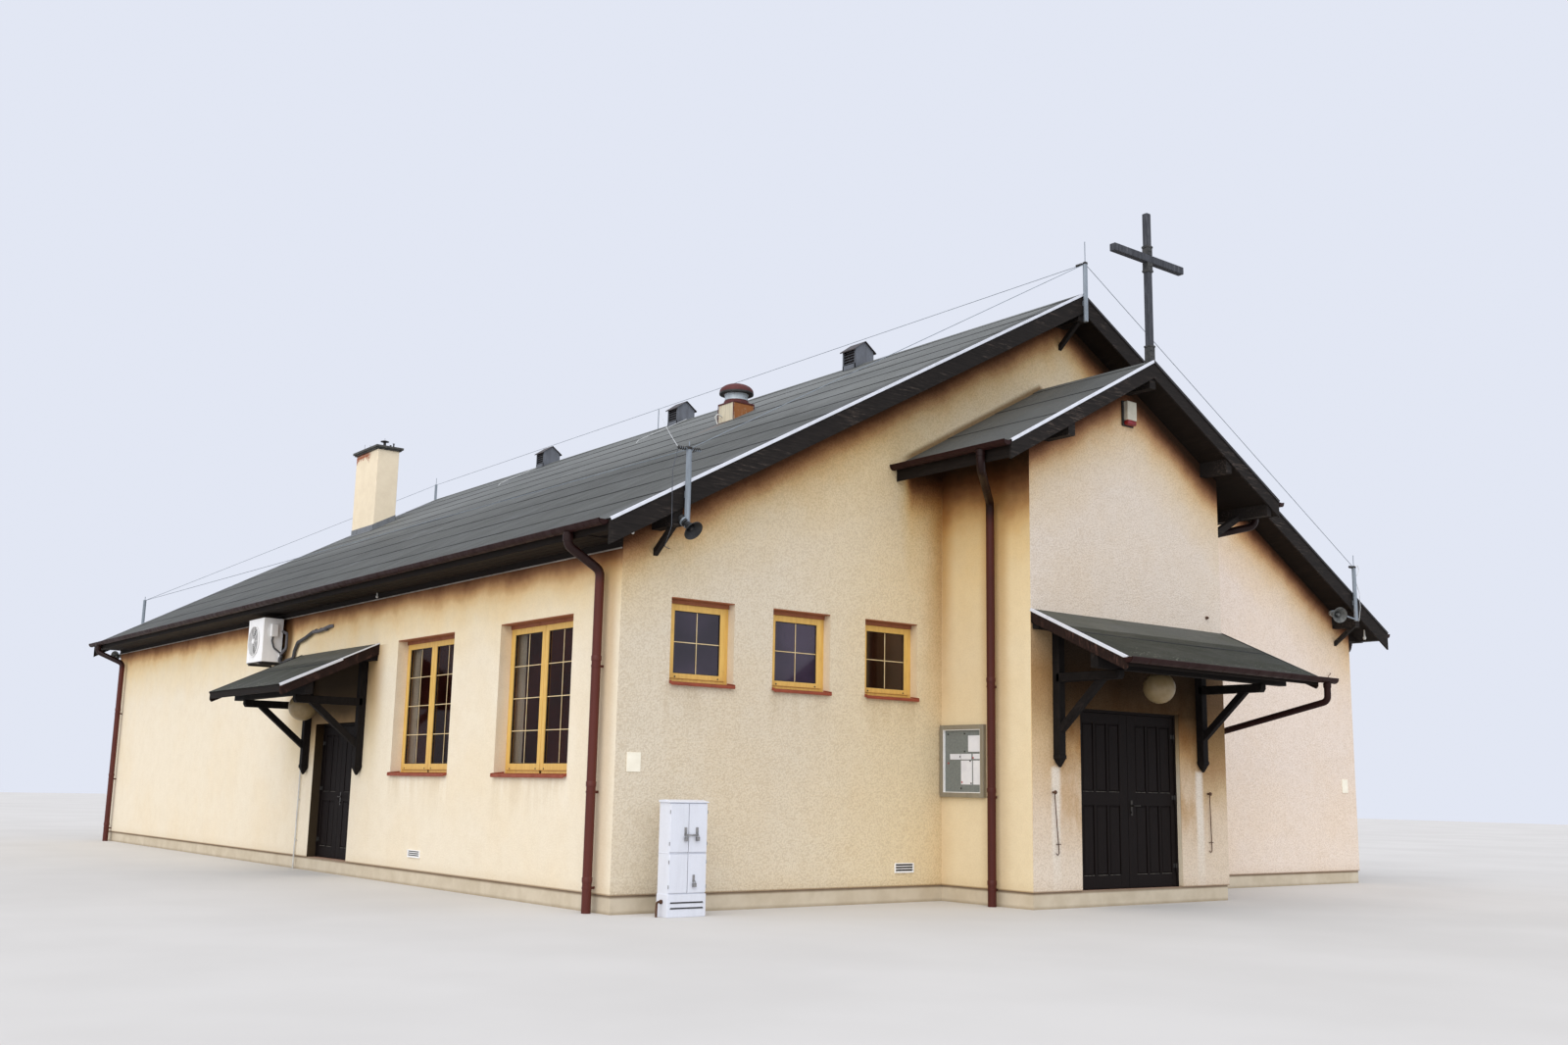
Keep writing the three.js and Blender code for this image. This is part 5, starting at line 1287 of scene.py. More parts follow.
# Chimney, cross, vents and fan
def chimney():
    x0, x1, y0, y1, top = -2.450, -1.890, 20.100, 21.450, 9.600
    stack = Shape()
    stack.along_y([(x0, hall_top(x0) + 0.001), (x1, hall_top(x1) + 0.001), (x1, top), (x0, top)], y0,
                  y1 - y0)
    stack.finish("chimney_stack", CHIMNEY, "render", bevel=0.012, segments=3, replaces=["chimney"])
    cap = Shape()
    for out, low, high in ((0.080, top + 0.032, top + 0.090), (0.045, top - 0.001, top + 0.034)):
        cap.box((x0 - out, y0 - out, low), (x1 + out, y1 + out, high))
    cap.finish("chimney_cap", CAP_CONCRETE, "plinth", bevel=0.008, segments=3)
    metal = Shape()
    reach, lift, rise = 0.13, 0.012, 0.15
    for a, b in ((x0 - 0.006, x0), (x1, x1 + 0.006)):
        metal.box((a, y0 - 0.006, hall_top(a) - 0.02), (b, y1 + 0.006, hall_top(a) + rise))
    for y, sign in ((y0, -1), (y1, 1)):
        metal.along_y([(x0 - 0.006, hall_top(x0) - 0.01), (x1 + 0.006, hall_top(x1) - 0.01),
                       (x1 + 0.006, hall_top(x1) + rise), (x0 - 0.006, hall_top(x0) + rise)],
                      min(y, y + sign * 0.006), 0.006)
        low, high = x0 - 0.10, x1 + 0.08
        apron = [(low, hall_top(low) + lift), (high, hall_top(high) + lift),
                 (high, hall_top(high) + lift + 0.006), (low, hall_top(low) + lift + 0.006)]
        metal.along_y(apron, min(y, y + sign * reach), reach)
    foot = [(x0 - reach, hall_top(x0 - reach) + lift), (x0, hall_top(x0) + lift),
            (x0, hall_top(x0) + lift + 0.006), (x0 - reach, hall_top(x0 - reach) + lift + 0.006)]
    metal.along_y(foot, y0 - reach, y1 - y0 + 2 * reach)
    metal.finish("chimney_flashing", CHIMNEY_FLASHING, "galvanised", bevel=0.001)
    cowls = Shape()
    cap_top = top + 0.090
    for x, y, stem, height, hood in ((-2.16, 20.42, 0.034, 0.170, 0.105),
                                     (-2.18, 20.98, 0.070, 0.060, 0.120)):
        cowls.lathe([(0, 0), (stem, 0), (stem, height), (hood, height + 0.004), (hood, height + 0.020),
                     (hood * 0.4, height + 0.040), (0, height + 0.045)], (x, y, cap_top - 0.001), sides=24)
    for x, y, tall in ((-2.02, 20.18, 0.10), (-2.05, 20.30, 0.075)):
        cowls.lathe([(0, 0), (0.018, 0), (0.018, tall), (0.034, tall + 0.008), (0, tall + 0.02)],
                    (x, y, cap_top - 0.001), sides=14)
    for x, y, tall in ((-2.16, 20.42, 0.27), (-2.30, 21.35, 0.24), (-2.36, 20.85, 0.13)):
        cowls.tube([(x, y, cap_top), (x, y, cap_top + tall)], 0.004, 8)
    cowls.finish("chimney_cowls", DARK_METAL, "galvanised", bevel=0.001)


def cross():
    """Slim timber post and arm, with an iron sleeve at the foot and one on each side of the crossing."""
    x, y, top, arm_z = PORCH_CENTRE, -2.043, 9.553, 8.877
    half, arm, arm_half, arm_deep = 0.043, 1.526, 0.053, 0.045
    seat = PORCH_RIDGE
    post = Shape()
    post.sweep([(-half, seat - SLOPE * half), (0, seat + 0.001), (half, seat - SLOPE * half), (half, top),
                (-half, top)], (x, y - half, 0), (1, 0, 0), (0, 0, 1), (0, 2 * half, 0))
    post.box((x - arm / 2, y - arm_deep - 0.003, arm_z - arm_half),
             (x + arm / 2, y + arm_deep + 0.003, arm_z + arm_half))
    post.finish("cross_beams", CROSS_TIMBER, "dark_timber", bevel=0.006, segments=3, replaces=["cross"])
    iron = Shape()
    wide = half + 0.007
    for low, high in ((arm_z - 0.200, arm_z - arm_half - 0.001), (arm_z + arm_half + 0.001, arm_z + 0.200)):
        iron.box((x - wide, y - wide, low), (x + wide, y + wide, high))
    foot = half + 0.008
    iron.sweep([(-foot, seat - SLOPE * foot + 0.002), (0, seat + 0.002),
                (foot, seat - SLOPE * foot + 0.002), (foot, 7.600), (-foot, 7.600)], (x, y - foot, 0),
               (1, 0, 0), (0, 0, 1), (0, 2 * foot, 0))
    for z in (7.585, arm_z - 0.190, arm_z + 0.165):
        band = foot + 0.006
        iron.box((x - band, y - band, z), (x + band, y + band, z + 0.026))
    for z in (7.45, 7.53, arm_z - 0.11, arm_z + 0.11):
        for dx in (-0.024, 0.024):
            iron.lathe([(0, 0), (0.010, 0), (0.010, 0.007), (0, 0.009)], (x + dx, y - foot, z), (0, -1, 0),
                       6)
    iron.finish("cross_ironwork", CROSS_IRON, "dark_timber", bevel=0.002)


def ridge_vent(number, y):
    half, length, shoulder, peak = 0.215, 0.350, 0.262, 0.415
    seat = RIDGE + 0.012
    eave = 0.035
    shell = Shape()
    gable = [(-half, seat - SLOPE * half), (0, seat), (half, seat - SLOPE * half), (half, RIDGE + shoulder),
             (0, RIDGE + peak - 0.004), (-half, RIDGE + shoulder)]
    for place in (y, y + length - 0.006):
        shell.along_y(gable, place, 0.006)
    foot, head = RIDGE - SLOPE * half + 0.014, RIDGE + shoulder
    for side in (-1, 1):
        x = side * half
        a, b = sorted((x, x - side * 0.006))
        shell.box((a, y, foot), (b, y + 0.030, head))
        shell.box((a, y + length - 0.030, foot), (b, y + length, head))
        shell.box((a, y, foot), (b, y + length, foot + 0.085))
        shell.box((a, y, head - 0.014), (b, y + length, head))
        for k in range(5):
            z = foot + 0.100 + k * (head - foot - 0.115) / 5
            tilt = [(0.0, 0.0), (0.042, 0.030), (0.042, 0.034), (0.0, 0.004)]
            shell.sweep(tilt, (x - side * 0.001, y + 0.028, z), (-side, 0, 0), (0, 0, 1),
                        (0, length - 0.056, 0))
    shell.finish(f"ridge_vent_{number}_shell", VENT_SHELL, "galvanised", bevel=0.0015,
                 replaces=[f"ridge_vent_{number}"])
    dark = Shape()
    dark.along_y([(-half + 0.045, seat), (half - 0.045, seat), (half - 0.045, RIDGE + shoulder),
                  (-half + 0.045, RIDGE + shoulder)], y + 0.008, length - 0.016)
    for side in (-1, 1):
        reach = half + eave
        fall = (peak - shoulder) / half
        top = RIDGE + peak
        dark.along_y([(0, top), (side * reach, top - fall * reach),
                      (side * reach, top - fall * reach - 0.020),
                      (side * (reach - 0.004), top - fall * reach - 0.020),
                      (side * (reach - 0.004), top - fall * reach - 0.004), (0, top - 0.006)], y - eave,
                     length + 2 * eave)
    dark.finish(f"ridge_vent_{number}_roof", VENT_ROOF, "galvanised", bevel=0.001)


def roof_fan():
    x, y, half = -2.132, 5.428, 0.214
    box_top, drum, drum_top, cap, top = 7.920, 0.200, 8.090, 0.294, 8.285
    base = Shape()
    base.along_y([(x - half, hall_top(x - half) + 0.001), (x + half, hall_top(x + half) + 0.001),
                  (x + half, box_top), (x - half, box_top)], y - half, 2 * half)
    base.finish("roof_fan_box", FAN_BOX, "galvanised", bevel=0.006, replaces=["roof_fan"])
    trim = Shape()
    lip = half + 0.012
    trim.box((x - lip, y - lip, box_top - 0.022), (x + lip, y + lip, box_top + 0.004))
    for dy in (-lip, lip - 0.012):
        for dx in (-lip, lip - 0.012):
            trim.box((x + dx, y + dy, hall_top(x + dx) + 0.012),
                     (x + dx + 0.012, y + dy + 0.012, box_top - 0.02))
    trim.lathe([(0, 0), (drum + 0.020, 0), (drum + 0.016, 0.034), (drum + 0.001, 0.060), (0, 0.060)],
               (x, y, box_top + 0.003), sides=40)
    trim.finish("roof_fan_trim", FAN_CAP, "galvanised", bevel=0.002)
    body = Shape()
    body.lathe([(0, 0), (drum, 0), (drum, 0.110), (drum + 0.012, 0.125), (drum + 0.012, 0.150), (0, 0.150)],
               (x, y, box_top + 0.040), sides=48)
    body.finish("roof_fan_drum", FAN_DRUM, "galvanised", bevel=0.002)
    hood = Shape()
    rise = top - drum_top
    dome = [(cap * math.cos(t),
             0.045 + (rise - 0.045) * math.sin(t)) for t in (math.pi / 2 * i / 12 for i in range(13))]
    hood.lathe([(0, 0.010), (cap - 0.050, 0.0), (cap - 0.012, 0.006),
                (cap, 0.022)] + dome[:-1] + [(0, rise)], (x, y, drum_top), sides=48)
    hood.finish("roof_fan_hood", FAN_CAP, "galvanised")
    rim = Shape()
    rim.lathe([(cap - 0.060, -0.004), (cap + 0.001, 0.002), (cap + 0.004, 0.022), (cap - 0.004, 0.046),
               (cap - 0.012, 0.044), (cap - 0.060, 0.010), (cap - 0.060, -0.004)], (x, y, drum_top),
              sides=48)
    rim.finish("roof_fan_rim", DARK_METAL, "galvanised")
    hook = Shape()
    face = x - half
    start = Vector((face, y + 0.10, 7.690))
    end = (face - 0.10, y + 0.10, hall_top(face - 0.10) + 0.012)
    hook.tube(bent([start, start + Vector((-0.10, 0.0, 0.03)), start + Vector((-0.13, 0.03, -0.02)),
                    start + Vector((-0.10, 0.02, -0.10)), end], 0.03), 0.012, 10)
    hook.finish("roof_fan_cable_gland", WHITE_PIPE, "white_metal")


# Fittings on the walls
def ac_unit():
    """Cooling unit on two brackets, with its fan, hoses, the wrapped pipe and the drain down the wall."""
    wall = -HALF_WIDTH
    face, back, y0, y1, z0, z1 = wall - 0.400, wall - 0.060, 10.860, 11.620, 3.390, 4.150
    centre, radius = Vector((face, 11.300, 3.765)), 0.262

    def circle(middle, r, sides, count):
        """Points around the fan's axis."""
        return [middle + Vector((0, r * math.cos(t), r * math.sin(t)))
                for t in (2 * math.pi * k / sides for k in range(count))]

    case = Shape()
    case.box((face + 0.070, y0, z0 + 0.010), (back, y1, z1 - 0.012))
    rim = circle(centre, radius, 48, 48)
    case.plate_with_hole((face, y0, z0 + 0.010), (face, y1, z1 - 0.012), rim, 0.072)
    case.box((face - 0.006, y0 - 0.006, z1 - 0.014), (back + 0.002, y1 + 0.006, z1))
    case.finish("ac_case", WHITE_METAL, "white_metal", bevel=0.008, segments=3, replaces=["ac_unit"])
    inside = Shape()
    inside.disc(radius - 0.002, 0, 0.004, centre + Vector((0.068, 0, 0)), (-1, 0, 0), 40)
    inside.lathe([(0, 0), (0.052, 0), (0.046, 0.030), (0, 0.036)], centre + Vector((0.060, 0, 0)),
                 (-1, 0, 0), 24)
    blade = [(0.04, -0.03), (0.235, -0.085), (0.245, 0.055), (0.05, 0.030)]
    for k in range(3):
        turn = 2 * math.pi * k / 3 + 0.4
        out, side = Vector((0, math.cos(turn), math.sin(turn))), Vector((0, -math.sin(turn),
                                                                         math.cos(turn)))
        inside.sweep(blade, centre + Vector((0.046, 0, 0)), out, side, (0.006, 0, 0))
    for y in (y0 + 0.120, y1 - 0.120):
        for root, top in ((face, z0 + 0.010), (wall - 0.010, z0 + 0.28)):
            inside.box((root, y - 0.020, z0 - 0.040), (wall - 0.001, y + 0.020, top))
    inside.box((face + 0.01, y0 + 0.01, z0 - 0.004), (back - 0.01, y1 - 0.01, z0 + 0.012))
    inside.finish("ac_fan_and_brackets", DARK_METAL, "white_metal", bevel=0.001)
    grille = Shape()
    at = centre + Vector((-0.012, 0, 0))
    for r in (0.262, 0.226, 0.190, 0.154, 0.118, 0.082, 0.046):
        grille.tube(circle(at, r, 40, 41), 0.0035 if r < 0.25 else 0.010, 8)
    for k in range(8):
        out = Vector((0, math.cos(math.pi * k / 4), math.sin(math.pi * k / 4)))
        grille.tube([at + out * 0.044, at + out * 0.262], 0.0035, 8)
    grille.lathe([(0, 0), (0.046, 0.002), (0.044, 0.012), (0, 0.014)], at, (-1, 0, 0), 20)
    grille.finish("ac_grille", WHITE_METAL, "white_metal")
    cover = Shape()
    cover.box((face + 0.120, y0 - 0.055, 3.830), (face + 0.240, y0 + 0.002, 4.050))
    cover.box((face + 0.300, y0 - 0.030, 3.470), (back - 0.006, y0 + 0.002, 3.600))
    cover.finish("ac_service_cover", WHITE_METAL, "white_metal", bevel=0.010, segments=3)
    hoses = Shape()
    y = y0 - 0.024
    hoses.tube(bent([(face + 0.170, y, 3.856), (face + 0.150, y, 3.760), (face + 0.190, y, 3.640),
                     (face + 0.300, y - 0.01, 3.560), (face + 0.330, y - 0.01, 3.470),
                     (face + 0.345, y, 3.360)], 0.05), 0.015, 10)
    hoses.tube(bent([(face + 0.330, y, 3.500), (face + 0.290, y - 0.03, 3.420),
                     (face + 0.350, y - 0.04, 3.370), (wall - 0.045, 10.62, 3.420),
                     (wall - 0.040, 10.33, 3.440), (wall - 0.040, 10.30, 3.560),
                     (wall - 0.040, 10.17, 3.700), (wall - 0.045, 9.84, 3.750),
                     (wall - 0.040, 9.50, 3.835)], 0.06), 0.030, 12)
    hoses.finish("ac_hoses", PIPE_DARK, "white_metal")
    wrap = Shape()
    wrap.tube(bent([(wall - 0.040, 9.50, 3.835), (wall - 0.046, 9.25, 3.828), (wall - 0.040, 9.05, 3.845),
                    (wall - 0.038, 8.80, 3.875), (wall + 0.004, 8.72, 3.880)], 0.04), 0.029, 14)
    for y_ring in (9.36, 9.14, 8.93):
        wrap.disc(0.034, -0.012, 0.012, (wall - 0.041, y_ring, 3.842), (0, 1, 0.05), 14)
    wrap.tube(bent([(back - 0.006, y0 + 0.010, 3.930), (back + 0.050, y0 - 0.070, 3.900),
                    (back + 0.045, y0 - 0.080, 3.640), (back - 0.030, y0 - 0.030, 3.530)], 0.08), 0.026, 14)
    wrap.finish("ac_wrapped_pipe", PIPE_WRAP, "white_metal")
    drain = Shape()
    off_wall = wall - 0.026
    drain.tube([(off_wall, 9.640, 3.250), (off_wall, 9.645, 1.500), (off_wall, 9.660, 0.004)], 0.013, 12)
    for z in (2.6, 1.9, 1.1, 0.45):
        drain.box((off_wall, 9.630, z - 0.010), (wall - 0.001, 9.672, z + 0.010))
    drain.finish("ac_drain_pipe", WHITE_PIPE, "white_metal", bevel=0.002)


def meter_cabinet():
    x0, x1, front, back, top = -7.275, -6.745, -0.560, -0.330, 1.285
    base = 0.262
    split, middle = 0.697, -7.010
    body = Shape()
    body.box((x0 + 0.012, front + 0.022, 0.0), (x1 - 0.012, back, top - 0.030))
    body.along_y([(x0 + 0.004, 0.0), (x1 - 0.004, 0.0), (x1 - 0.004, base - 0.012),
                  (x0 + 0.004, base - 0.012)], front + 0.008, back - front - 0.008)
    body.along_x([(front - 0.002, top - 0.022), (front - 0.002, top - 0.034), (back, top - 0.034),
                  (back, top - 0.006), ((front + back) / 2, top)], x0 - 0.004, x1 - x0 + 0.008)
    for low, high in ((base, split - 0.010), (split + 0.008, top - 0.044)):
        for a, b in ((x0 + 0.014, middle - 0.004), (middle + 0.004, x1 - 0.014)):
            body.box((a, front + 0.004, low), (b, front + 0.024, high))
    body.box((x0 + 0.008, front + 0.012, split - 0.007), (x1 - 0.008, back, split + 0.005))
    body.finish("meter_cabinet_body", CABINET, "white_metal", bevel=0.005, segments=3,
                replaces=["meter_cabinet"])
    slots = Shape()
    for z in (0.100, 0.160):
        slots.box((x0 + 0.045, front + 0.0065, z - 0.006), (x1 - 0.045, front + 0.012, z + 0.006))
    for z in (0.094, 0.154):
        slots.box((x0 + 0.040, front + 0.004, z - 0.004), (x1 - 0.040, front + 0.009, z - 0.001))
    slots.box((middle - 0.003, front + 0.016, base), (middle + 0.003, front + 0.023, top - 0.05))
    slots.finish("meter_cabinet_slots", DARK_METAL, "white_metal")
    fittings = Shape()
    for x, z, sign in ((-7.055, 0.905, -1), (-6.900, 0.905, 1)):
        fittings.box((x - 0.016, front - 0.004, z - 0.020), (x + 0.016, front + 0.006, z + 0.075))
        fittings.bar((x, front - 0.014, z - 0.004), (x + 0.075 * -sign, front - 0.018, z - 0.012), 0.016,
                     0.014, (0, 0, 1))
        fittings.lathe([(0, 0), (0.014, 0), (0.012, 0.020), (0, 0.022)], (x, front + 0.002, z - 0.004),
                       (0, -1, 0), 16)
        fittings.box((x - 0.022, front - 0.030, z - 0.075), (x + 0.022, front - 0.006, z - 0.030))
        loop = [(x - 0.013, front - 0.018, z - 0.032), (x - 0.013, front - 0.018, z - 0.010),
                (x + 0.013, front - 0.018, z - 0.010), (x + 0.013, front - 0.018, z - 0.032)]
        fittings.tube(bent(loop, 0.010), 0.0035, 8)
    x, z = -6.930, 0.380
    fittings.box((x - 0.014, front - 0.004, z), (x + 0.014, front + 0.006, z + 0.080))
    fittings.box((x - 0.022, front - 0.030, z - 0.055), (x + 0.022, front - 0.006, z - 0.010))
    fittings.tube(bent([(x - 0.013, front - 0.018, z - 0.012), (x - 0.013, front - 0.018, z + 0.014),
                        (x + 0.013, front - 0.018, z + 0.014), (x + 0.013, front - 0.018, z - 0.012)],
                       0.010), 0.0035, 8)
    for z in (0.33, 0.60, 0.80, 1.15):
        for x in (x0 + 0.010, x1 - 0.010):
            fittings.disc(0.005, -0.020, 0.020, (x, front + 0.008, z), sides=10)
    fittings.finish("meter_cabinet_locks", LOCK_STEEL, "aluminium", bevel=0.002)
    conduit = Shape()
    conduit.tube(bent([(x0 + 0.02, front + 0.12, 0.165), (x0 - 0.060, front + 0.12, 0.165),
                       (x0 - 0.064, front + 0.12, 0.002)], 0.03), 0.014, 10)
    conduit.lathe([(0, 0), (0.024, 0), (0.024, 0.02), (0, 0.022)], (x0 + 0.004, front + 0.12, 0.165),
                  (-1, 0, 0), 12)
    conduit.finish("meter_cabinet_cable_duct", RUSTED_IRON, "galvanised")


def noticeboard():
    """Board on the porch's left wall, in a frame with x along the wall from its rear end."""
    place = Matrix.Translation((PORCH_LEFT, -0.020, 0.0)) @ Matrix.Rotation(-math.pi / 2, 4, "Z")
    width, z0, z1, thick, bar = 0.810, 1.360, 2.310, 0.060, 0.062
    frame_shape = Shape()
    ring(frame_shape, 0, width, z0, z1, bar, bar, -thick, -0.001)
    frame_shape.finish("noticeboard_frame", ALUMINIUM, "aluminium", bevel=0.004, place=place,
                       replaces=["noticeboard"])
    back = Shape()
    back.box((0.01, -0.022, z0 + 0.01), (width - 0.01, -0.001, z1 - 0.01))
    back.finish("noticeboard_back", BOARD_BACK, "aluminium", place=place)
    edge = Shape()
    ring(edge, bar - 0.002, width - bar + 0.002, z0 + bar - 0.002, z1 - bar + 0.002, 0.010, 0.010,
         -thick + 0.006, -0.020)
    edge.finish("noticeboard_inner_edge", WHITE_METAL, "aluminium", bevel=0.001, place=place)
    sheets = Shape()
    for x, z, wide, tall in ((0.500, 1.955, 0.242, 0.214), (0.162, 1.855, 0.195, 0.074),
                             (0.362, 1.855, 0.197, 0.074), (0.586, 1.861, 0.156, 0.068),
                             (0.367, 1.528, 0.205, 0.314), (0.590, 1.528, 0.152, 0.314)):
        corners = [(x, -0.0225, z), (x + wide, -0.0225, z), (x + wide, -0.0225, z + tall),
                   (x, -0.0225, z + tall)]
        lifted = [(x + 0.004, -0.0265, z + 0.003), (x + wide - 0.001, -0.0245, z),
                  (x + wide, -0.0245, z + tall - 0.001), (x, -0.0245, z + tall)]
        sheets.frustum(corners, lifted)
    sheets.finish("noticeboard_sheets", PAPER, "aluminium", place=place)
    pin = [(0, 0), (0.011, 0.002), (0.010, 0.007), (0, 0.009)]
    red = ((0.137, 1.807), (0.597, 1.876), (0.391, 1.558))
    dark = ((0.542, 1.835), (0.730, 1.843), (0.558, 1.545), (0.372, 1.478), (0.131, 2.190), (0.438, 2.194),
            (0.438, 1.960), (0.356, 1.891))
    for name, material, places in (("red", PIN_RED, red), ("dark", DARK_METAL, dark)):
        pins = Shape()
        for x, z in places:
            pins.lathe(pin, (x, -0.0255, z), (0, -1, 0), 14)
        pins.finish(f"noticeboard_{name}_pins", material, "aluminium", place=place)


def horn(name, centre, axis, radius, base, material):
    """Horn loudspeaker: flared bell, driver behind it, and a bracket to base."""
    centre, axis = Vector(centre), Vector(axis).normalized()
    bell = Shape()
    depth = radius * 1.35
    outer = [(0.036 + (radius - 0.036) * (i / 12) ** 2.1, -depth + depth * i / 12) for i in range(13)]
    inner = [(max(r - 0.006, 0.004), h) for r, h in reversed(outer[1:])]
    bell.lathe([(0, -depth)] + outer + [(radius + 0.006, 0.002),
                                        (radius + 0.004, 0.010)] + inner + [(0, -depth * 0.80)], centre,
               axis, 40)
    bell.lathe([(0, -depth - 0.11), (0.050, -depth - 0.105), (0.056, -depth - 0.06),
                (0.050, -depth + 0.005), (0, -depth + 0.005)], centre, axis, 28)
    bell.lathe([(0, -depth * 0.75), (radius * 0.24, -depth * 0.72), (radius * 0.26, -depth * 0.30),
                (radius * 0.16, -depth * 0.16), (0, -depth * 0.12)], centre, axis, 24)
    bell.finish(f"{name}_bell", material, "galvanised")
    arm = Shape()
    hold = centre - axis * (depth + 0.03)
    arm.tube(bent([hold, hold + (Vector(base) - hold) * 0.5 + Vector((0, 0, 0.02)), base], 0.03), 0.013, 10)
    arm.disc(0.060, -0.012, 0.012, hold, axis, 24)
    arm.finish(f"{name}_bracket", MAST_METAL, "galvanised")


def small_fittings():
    siren = Shape()
    siren.box((-0.575, PORCH_FRONT - 0.098, 6.600), (-0.375, PORCH_FRONT - 0.002, 6.872))
    siren.finish("siren_shell", SIREN_WHITE, "white_metal", bevel=0.012, segments=3)
    lens = Shape()
    lens.box((-0.571, PORCH_FRONT - 0.094, 6.535), (-0.379, PORCH_FRONT - 0.004, 6.601))
    lens.finish("siren_lens", SIREN_RED, "white_metal", bevel=0.014, segments=3)
    backing = Shape()
    backing.box((-0.602, PORCH_FRONT - 0.030, 6.520), (-0.368, PORCH_FRONT - 0.001, 6.882))
    backing.finish("siren_back_plate", DARK_METAL, "white_metal", bevel=0.006)

    plates = Shape()
    plates.box((-7.522, -0.010, 1.585), (-7.333, -0.0005, 1.808))
    plates.box((7.231, -0.010, 1.541), (7.413, -0.0005, 1.775))
    plates.finish("wall_junction_plates", PLATE_CREAM, "white_metal", bevel=0.003)
    for word, place, x0, x1, z0, z1 in (("front", on_front(), -3.368, -3.036, 0.379, 0.504),
                                        ("side", on_left(5.345), 0.0, 0.383, 0.385, 0.488)):
        part, dark = Shape(), Shape()
        ring(part, x0, x1, z0, z1, 0.012, 0.012, -0.020, -0.0005)
        dark.box((x0 + 0.010, -0.003, z0 + 0.010), (x1 - 0.010, -0.0008, z1 - 0.010))
        for k in range(3):
            z = z0 + 0.016 + k * (z1 - z0 - 0.024) / 3
            part.sweep([(0, 0), (-0.018, -0.004), (-0.018, 0.002), (0, 0.008)], (x0 + 0.010, -0.002, z),
                       (0, 1, 0), (0, 0, 1), (x1 - x0 - 0.020, 0, 0))
        part.finish(f"wall_vent_{word}", WHITE_METAL, "white_metal", bevel=0.001, place=place)
        dark.finish(f"wall_vent_{word}_slots", DARK_METAL, "white_metal", place=place)

    hooks = Shape()
    y = PORCH_FRONT
    for (x0, z0), (x1, z1) in (((-2.130, 1.450), (-2.041, 0.690)), ((1.116, 1.470), (1.156, 0.690))):
        hooks.lathe([(0, 0), (0.012, 0), (0.014, 0.030), (0.026, 0.042), (0.024, 0.058), (0, 0.064)],
                    (x0, y, z0), (0, -1, 0), 16)
        hooks.tube(bent([(x0, y - 0.040, z0), (x0 + 0.010, y - 0.030, z0 - 0.06), (x1, y - 0.020, z1),
                         (x1 - 0.030, y - 0.022, z1 - 0.028), (x1 - 0.060, y - 0.022, z1 - 0.004)], 0.02),
                   0.0065, 10)
        hooks.tube([(x1 - 0.050, y - 0.016, z1 + 0.110), (x1 + 0.040, y - 0.016, z1 + 0.110)], 0.005, 8)
        hooks.tube([(x1 - 0.010, y, z1 + 0.110), (x1 - 0.010, y - 0.018, z1 + 0.110)], 0.005, 8)
    hooks.lathe([(0, 0), (0.020, 0), (0.024, 0.020), (0.012, 0.045), (0, 0.048)], (1.211, y, 3.971),
                (0, -1, 0), 16)
    hooks.tube(bent([(7.02, -0.002, 3.62), (6.95, -0.06, 3.60), (6.86, -0.07, 3.56), (6.84, -0.07, 3.50)],
                    0.03), 0.006, 8)
    hooks.finish("door_hooks", RUSTED_IRON, "galvanised")

    horn("left_horn", (-7.135, -0.640, 4.345), (0.162, -0.808, -0.687), 0.118, (-7.146, -0.535, 4.480),
         HORN)
    horn("right_horn", (6.500, -0.560, 4.560), (-0.45, -0.85, -0.22), 0.130, (7.060, -0.530, 4.530),
         HORN_GREY)
    horn("rear_horn", (-7.740, 21.700, 4.120), (-0.85, -0.50, -0.15), 0.120, (-7.672, 21.560, 4.180),
         HORN_GREY)

    bulbs = Shape()
    for x, y, z, size in ((-7.740, -0.300, 4.300, 0.55), (7.700, -0.300, 4.290, 0.9),
                          (-7.760, 6.856, 4.190, 0.6)):
        bulbs.lathe([(0, -0.052 * size), (0.020 * size, -0.048 * size), (0.032 * size, -0.024 * size),
                     (0.030 * size, 0.0), (0.018 * size, 0.018 * size), (0.018 * size, 0.130), (0, 0.130)],
                    (x, y, z), sides=20)
    bulbs.finish("soffit_bulbs", WHITE_PIPE, "opal_glass")


def eaves():
    """Boarded soffit under each long eave, a dark ledger on the wall under it and a cover strip below."""
    for side, word in SIDES:
        boards = Shape()
        width = (HALL_REACH - HALF_WIDTH) / 4
        for k in range(4):
            a = HALF_WIDTH + 0.004 + width * k
            x0, x1 = sorted((side * a, side * (a + width - 0.006)))
            boards.box((x0, 0.004, 4.238), (x1, LENGTH - 0.004, 4.2495))
        x0, x1 = sorted((side * (HALF_WIDTH + 0.001), side * (HALF_WIDTH + 0.026)))
        boards.box((x0, 0.008, 4.168), (x1, LENGTH - 0.008, 4.239))
        boards.finish(f"soffit_boards_{word}", SOFFIT, "dark_timber", bevel=0.002)
        strip = Shape()
        x0, x1 = sorted((side * (HALF_WIDTH + 0.001), side * (HALF_WIDTH + 0.018)))
        strip.box((x0, 0.010, 4.150), (x1, LENGTH - 0.010, 4.167))
        strip.finish(f"soffit_strip_{word}", COVER_STRIP, "render", bevel=0.004)


